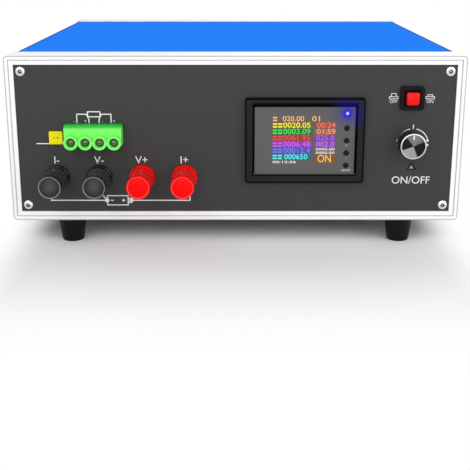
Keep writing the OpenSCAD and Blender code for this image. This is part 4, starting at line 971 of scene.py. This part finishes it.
def makePostKnob(index):
    node = "post_knob_%d" % index
    low, mid, r, l, place = knobPlace(node)
    b, bore = postSet["bore"], l + (low.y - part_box("post_studs")[0].y) / mm + postSet["boreOver"]
    outline = [(0, bore), (b, bore), (b, 0), (r - 0.3, 0), (r, 0.3), (r, 1.6), (r - 0.7, 1.9), (r - 0.7, l - 5.2),
               (r - 0.25, l - 4.9), (r, l - 4.5), (r, l - 1.5), (r - 0.12, l - 0.95), (r - 0.45, l - 0.66),
               (r - 0.9, l - 0.66), (r - 1.25, l - 0.95), (r - 1.7, l - 0.88), (r * 0.6, l - 0.48),
               (r * 0.35, l - 0.16), (0, l)]
    bm = bmesh.new()
    turned(bm, scaled(outline), place, postSet["sides"], accent=postSet["lipHighlightSteps"])
    for face in bm.faces:  # the domed end of the cap
        spot = face.calc_center_median()
        inner = math.hypot(spot.x - mid.x, spot.z - mid.z) < (r - postSet["domeIn"]) * mm
        if inner and spot.y < low.y + postSet["domeDeep"] * mm:
            face.material_index = 2
    # the lip rings take a paler finish, a painted highlight
    if index < 3:
        body, lip, grip, slotName = postBlack, capGreyHighlight, ribBlackHighlight, "post_black"
        crown = capFaceSheen(index, mid, r * mm)
    else:
        body, lip, grip, slotName = postRed, capPinkHighlight, ribRedHighlight, "post_red"
        crown = body
    # the lighter ribs are a painted highlight
    addRibs(bm, place, postSet, r, l, grip, 3)
    addPiece("postKnob%d" % index, bm, [body, lip, crown, grip], node, [node])


for index in range(1, 5):
    makePostKnob(index)
print("post knobs made")

# encoder knob: ribbed skirt, silver rim and spun face with painted sheen, in millimetres
knobSet = {"ribs": 40, "ribRadius": 0.42, "ribIn": 0.45, "ribShort": 3.0, "ribFrom": 1.05, "bore": 3.05,
           "boreDeep": 11.0, "cavity": 6.2, "cavityDeep": 5.1, "sides": 80, "rimSteps": (12, 13, 14, 15),
           "faceDeep": 1.0, "pointerIn": (4.4, 1.4), "pointerWidth": 0.9, "pointerDeep": 0.17,
           "face": {"Metallic": 0.2, "Roughness": 0.45, "Specular IOR Level": 0.15},
           "sheenSectors": ((0.0, 0.006), (0.045, 0.006), (0.065, 0.33), (0.295, 0.29), (0.32, 0.006), (0.56, 0.005),
                       (0.585, 0.13), (0.70, 0.20), (0.845, 0.15), (0.87, 0.006), (1.0, 0.006))}


def spunSheenFace(mid):  # painted reflection: sheen sectors that turn about the knob's own axis
    mat, tree, bsdf = newFinish("spunSheenFace")
    centre = addNode(tree, "ShaderNodeMapping", {"Vector": objectPlace(tree), "Location": (-mid.x, 0.0, -mid.z)})
    axes = addNode(tree, "ShaderNodeSeparateXYZ", {0: centre.outputs["Vector"]}).outputs
    flat = addNode(tree, "ShaderNodeCombineXYZ", {"X": axes["X"], "Y": axes["Z"]})
    around = addNode(tree, "ShaderNodeTexGradient", {"Vector": flat.outputs[0]}, gradient_type="RADIAL")
    tone = ramp(tree, around.outputs["Fac"], [(place, (v, v, v, 1.0)) for place, v in knobSet["sheenSectors"]])
    feed(tree, bsdf, {"Base Color": tone, **knobSet["face"]})
    return mat


def makeEncoderKnob():
    low, mid, r, l, place = knobPlace("encoder_knob")
    bore, deep, cavity, step = (knobSet[key] for key in ("bore", "boreDeep", "cavity", "cavityDeep"))
    outline = [(0, deep), (bore, deep), (bore, step), (cavity, step), (cavity, 0), (r - 0.3, 0), (r, 0.3), (r, 0.9),
               (r - 0.45, 1.1), (r - 0.45, l - 1.9), (r - 0.1, l - 1.7), (r, l - 1.5), (r, l - 0.6),
               (r - 0.25, l - 0.15), (r - 0.6, l), (r - 0.95, l), (r - 1.1, l - 0.2), (0, l - 0.2)]
    bm = bmesh.new()
    turned(bm, scaled(outline), place, knobSet["sides"], accent=knobSet["rimSteps"])
    for face in bm.faces:  # the spun face is the ring of triangles at the front
        if len(face.verts) == 3 and face.calc_center_median().y < low.y + knobSet["faceDeep"] * mm:
            face.material_index = 2
    addRibs(bm, place, knobSet, r, l, knobDark, 0)
    pointer = lineMesh([[(0, r - depth) for depth in knobSet["pointerIn"]]], knobSet["pointerWidth"], inkWhite)
    joinMesh(bm, pointer, place @ Matrix.Translation((0, 0, (l - knobSet["pointerDeep"]) * mm)), 3)
    addPiece("encoderKnob", bm, [knobDark, rimSilver, spunSheenFace(mid), inkWhite], "encoder_knob",
             ["encoder_knob"])


makeEncoderKnob()
print("encoder knob made")

# glow of the status lamp on the window and its frame
haloSet = {"radius": 6.3, "thick": 0.03, "sides": 48, "spill": 14.0,
           "frameTone": (0.008, 0.006, 0.18, 1), "windowTone": (0.05, 0.05, 0.20, 1),
           "lamp": ((0.25, (0.03, 0.03, 0.95, 1)), (0.75, (0.75, 0.75, 1.0, 1))),  # white in the middle of the lens
           "glow": ((0.0, (0.0, 0.0, 0.0, 1)), (1.0, (0.010, 0.006, 0.6, 1))),
           "ground": ((0.0, (0.071, 0.071, 0.154, 1)), (0.8, (0.004, 0.003, 0.08, 1))),
           "finish": {"Emission Strength": 1.0, "Roughness": 0.5, "Specular IOR Level": 0.25}}


def haloFinish(mid):
    mat, tree, bsdf = newFinish("lampHalo")
    fade = roundFade(tree, mid, haloSet["radius"] * mm)
    feed(tree, bsdf, {"Emission Color": ramp(tree, fade, haloSet["glow"], "EASE"),
                      "Base Color": ramp(tree, fade, haloSet["ground"], "EASE"), **haloSet["finish"]})
    return mat


def makeHalo():
    low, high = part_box("status_led")
    mid, lens = (low + high) / 2, (high.x - low.x) / 2
    tree = lampBlue.node_tree
    shine = ramp(tree, roundFade(tree, mid, lens), haloSet["lamp"])
    feed(tree, tree.nodes["Principled BSDF"], {"Emission Color": shine})
    for mat, tone in ((displayBlack, haloSet["frameTone"]), (windowGrey, haloSet["windowTone"])):
        mixedTone(mat, roundFade(mat.node_tree, mid, haloSet["spill"] * mm), tone)
    bm = bmesh.new()
    t, r = haloSet["thick"] * mm, haloSet["radius"] * mm
    place = onFront(mid.x, mid.z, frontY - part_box("display_window")[0].y)
    turned(bm, [(lens, 0), (r, 0), (r, t), (lens, t)], place, haloSet["sides"])
    addPiece("lampHalo", bm, [haloFinish(mid)], "case")


makeHalo()
print("lamp glow made")

# labels on the fan hubs with a painted highlight sector, and pale edges of the fan frames, in millimetres
hubSet = {"pale": 15.8, "green": 8.0, "white": (28.0, 122.0), "thick": 0.12, "ringIn": 1.4, "ringWidth": 0.5,
          "ringSteps": 48, "ink": 0.03, "tilt": -13.4, "edgeSides": 8, "edgeRadius": 44.3, "edgeWidth": 0.6}


def makeFanLabels(side):
    axis = middle("fan_frame_" + side)
    place = onRear(axis.x, axis.z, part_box("fan_rotor_" + side)[1].y - rearY)
    pale, green, thick, ink = (hubSet[key] * mm for key in ("pale", "green", "thick", "ink"))
    bm = bmesh.new()
    turned(bm, [(0, 0), (pale, 0), (pale, thick), (green, thick), (0, thick)], place, accent=(3,))
    # the white sector of the pale ring is a painted highlight
    start, end = hubSet["white"]
    for face in bm.faces:
        flat = face.calc_center_median() - axis
        if face.material_index == 0 and start < math.degrees(math.atan2(flat.z, -flat.x)) < end:
            face.material_index = 2
    ring = arcPath(0, 0, hubSet["pale"] - hubSet["ringIn"], 0, 360, hubSet["ringSteps"])
    joinMesh(bm, lineMesh([ring], hubSet["ringWidth"], edgeGrey), place @ Matrix.Translation((0, 0, thick + ink)), 3)
    addPiece("hubLabel." + side, bm, [hubPale, hubGreen, hubHighlight, edgeGrey], "fan_" + side)
    bm = bmesh.new()  # moulding edges of the eight-sided frame
    turn, sides = hubSet["tilt"] + 180 / hubSet["edgeSides"], hubSet["edgeSides"]
    corners = arcPath(0, 0, hubSet["edgeRadius"], turn, turn + 360, sides)
    edges = lineMesh(list(zip(corners, corners[1:])), hubSet["edgeWidth"], edgeGrey)
    joinMesh(bm, edges, onRear(axis.x, axis.z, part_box("fan_frame_" + side)[1].y - rearY + ink))
    addPiece("frameEdges." + side, bm, [edgeGrey], "case")


for side in ("left", "right"):
    makeFanLabels(side)
print("fan labels made")

# supply socket: dark mouth, bright pin and its mark on the rear panel, in millimetres
jackSet = {"mouth": 3.19, "mouthDeep": 6.0, "mouthIn": 0.02, "wall": 0.06, "mouthSides": 48,
           "pin": ((0, -3.95), (1.08, -3.95), (1.08, -1.35), (0.756, -0.85), (0, -0.7)), "pinSides": 24,
           "markAcross": 14.6, "markDown": 0.6, "markRadius": 3.6, "markOpen": (50, 310), "stem": (-0.6, 5.0),
           "dotOut": 6.2, "dot": 0.9, "line": 0.6, "ink": 0.03}


def makeJack():
    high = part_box("dc_jack")[1]
    mid = middle("dc_jack")
    place = onRear(mid.x, mid.z, high.y - rearY)
    outer, inner = jackSet["mouth"], jackSet["mouth"] - jackSet["wall"]
    foot, lip = -jackSet["mouthDeep"], -jackSet["mouthIn"]
    bm = bmesh.new()
    turned(bm, scaled([(inner, foot), (outer, foot), (outer, lip), (inner, lip)]), place, jackSet["mouthSides"])
    addPiece("jackMouth", bm, [boreDark], "case")
    bm = bmesh.new()
    turned(bm, scaled(jackSet["pin"]), place, jackSet["pinSides"])
    addPiece("jackPin", bm, [rimSilver], "case")
    bm = bmesh.new()
    x, z = -jackSet["markAcross"], -jackSet["markDown"]  # left of the socket, seen from the rear
    paths = [arcPath(x, z, jackSet["markRadius"], *jackSet["markOpen"]), [(x + a, z) for a in jackSet["stem"]]]
    flat = onRear(mid.x, mid.z, jackSet["ink"] * mm)
    joinMesh(bm, lineMesh(paths, jackSet["line"], inkWhite), flat)
    disc(bm, flat @ Matrix.Translation(((x + jackSet["dotOut"]) * mm, z * mm, 0)), jackSet["dot"] * mm)
    addPiece("socketMark", bm, [inkWhite], "case")


makeJack()
print("supply socket dressed")

size = {"cad": [list(cadLow), list(cadHigh)], "visual": [list(v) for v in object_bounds()]}
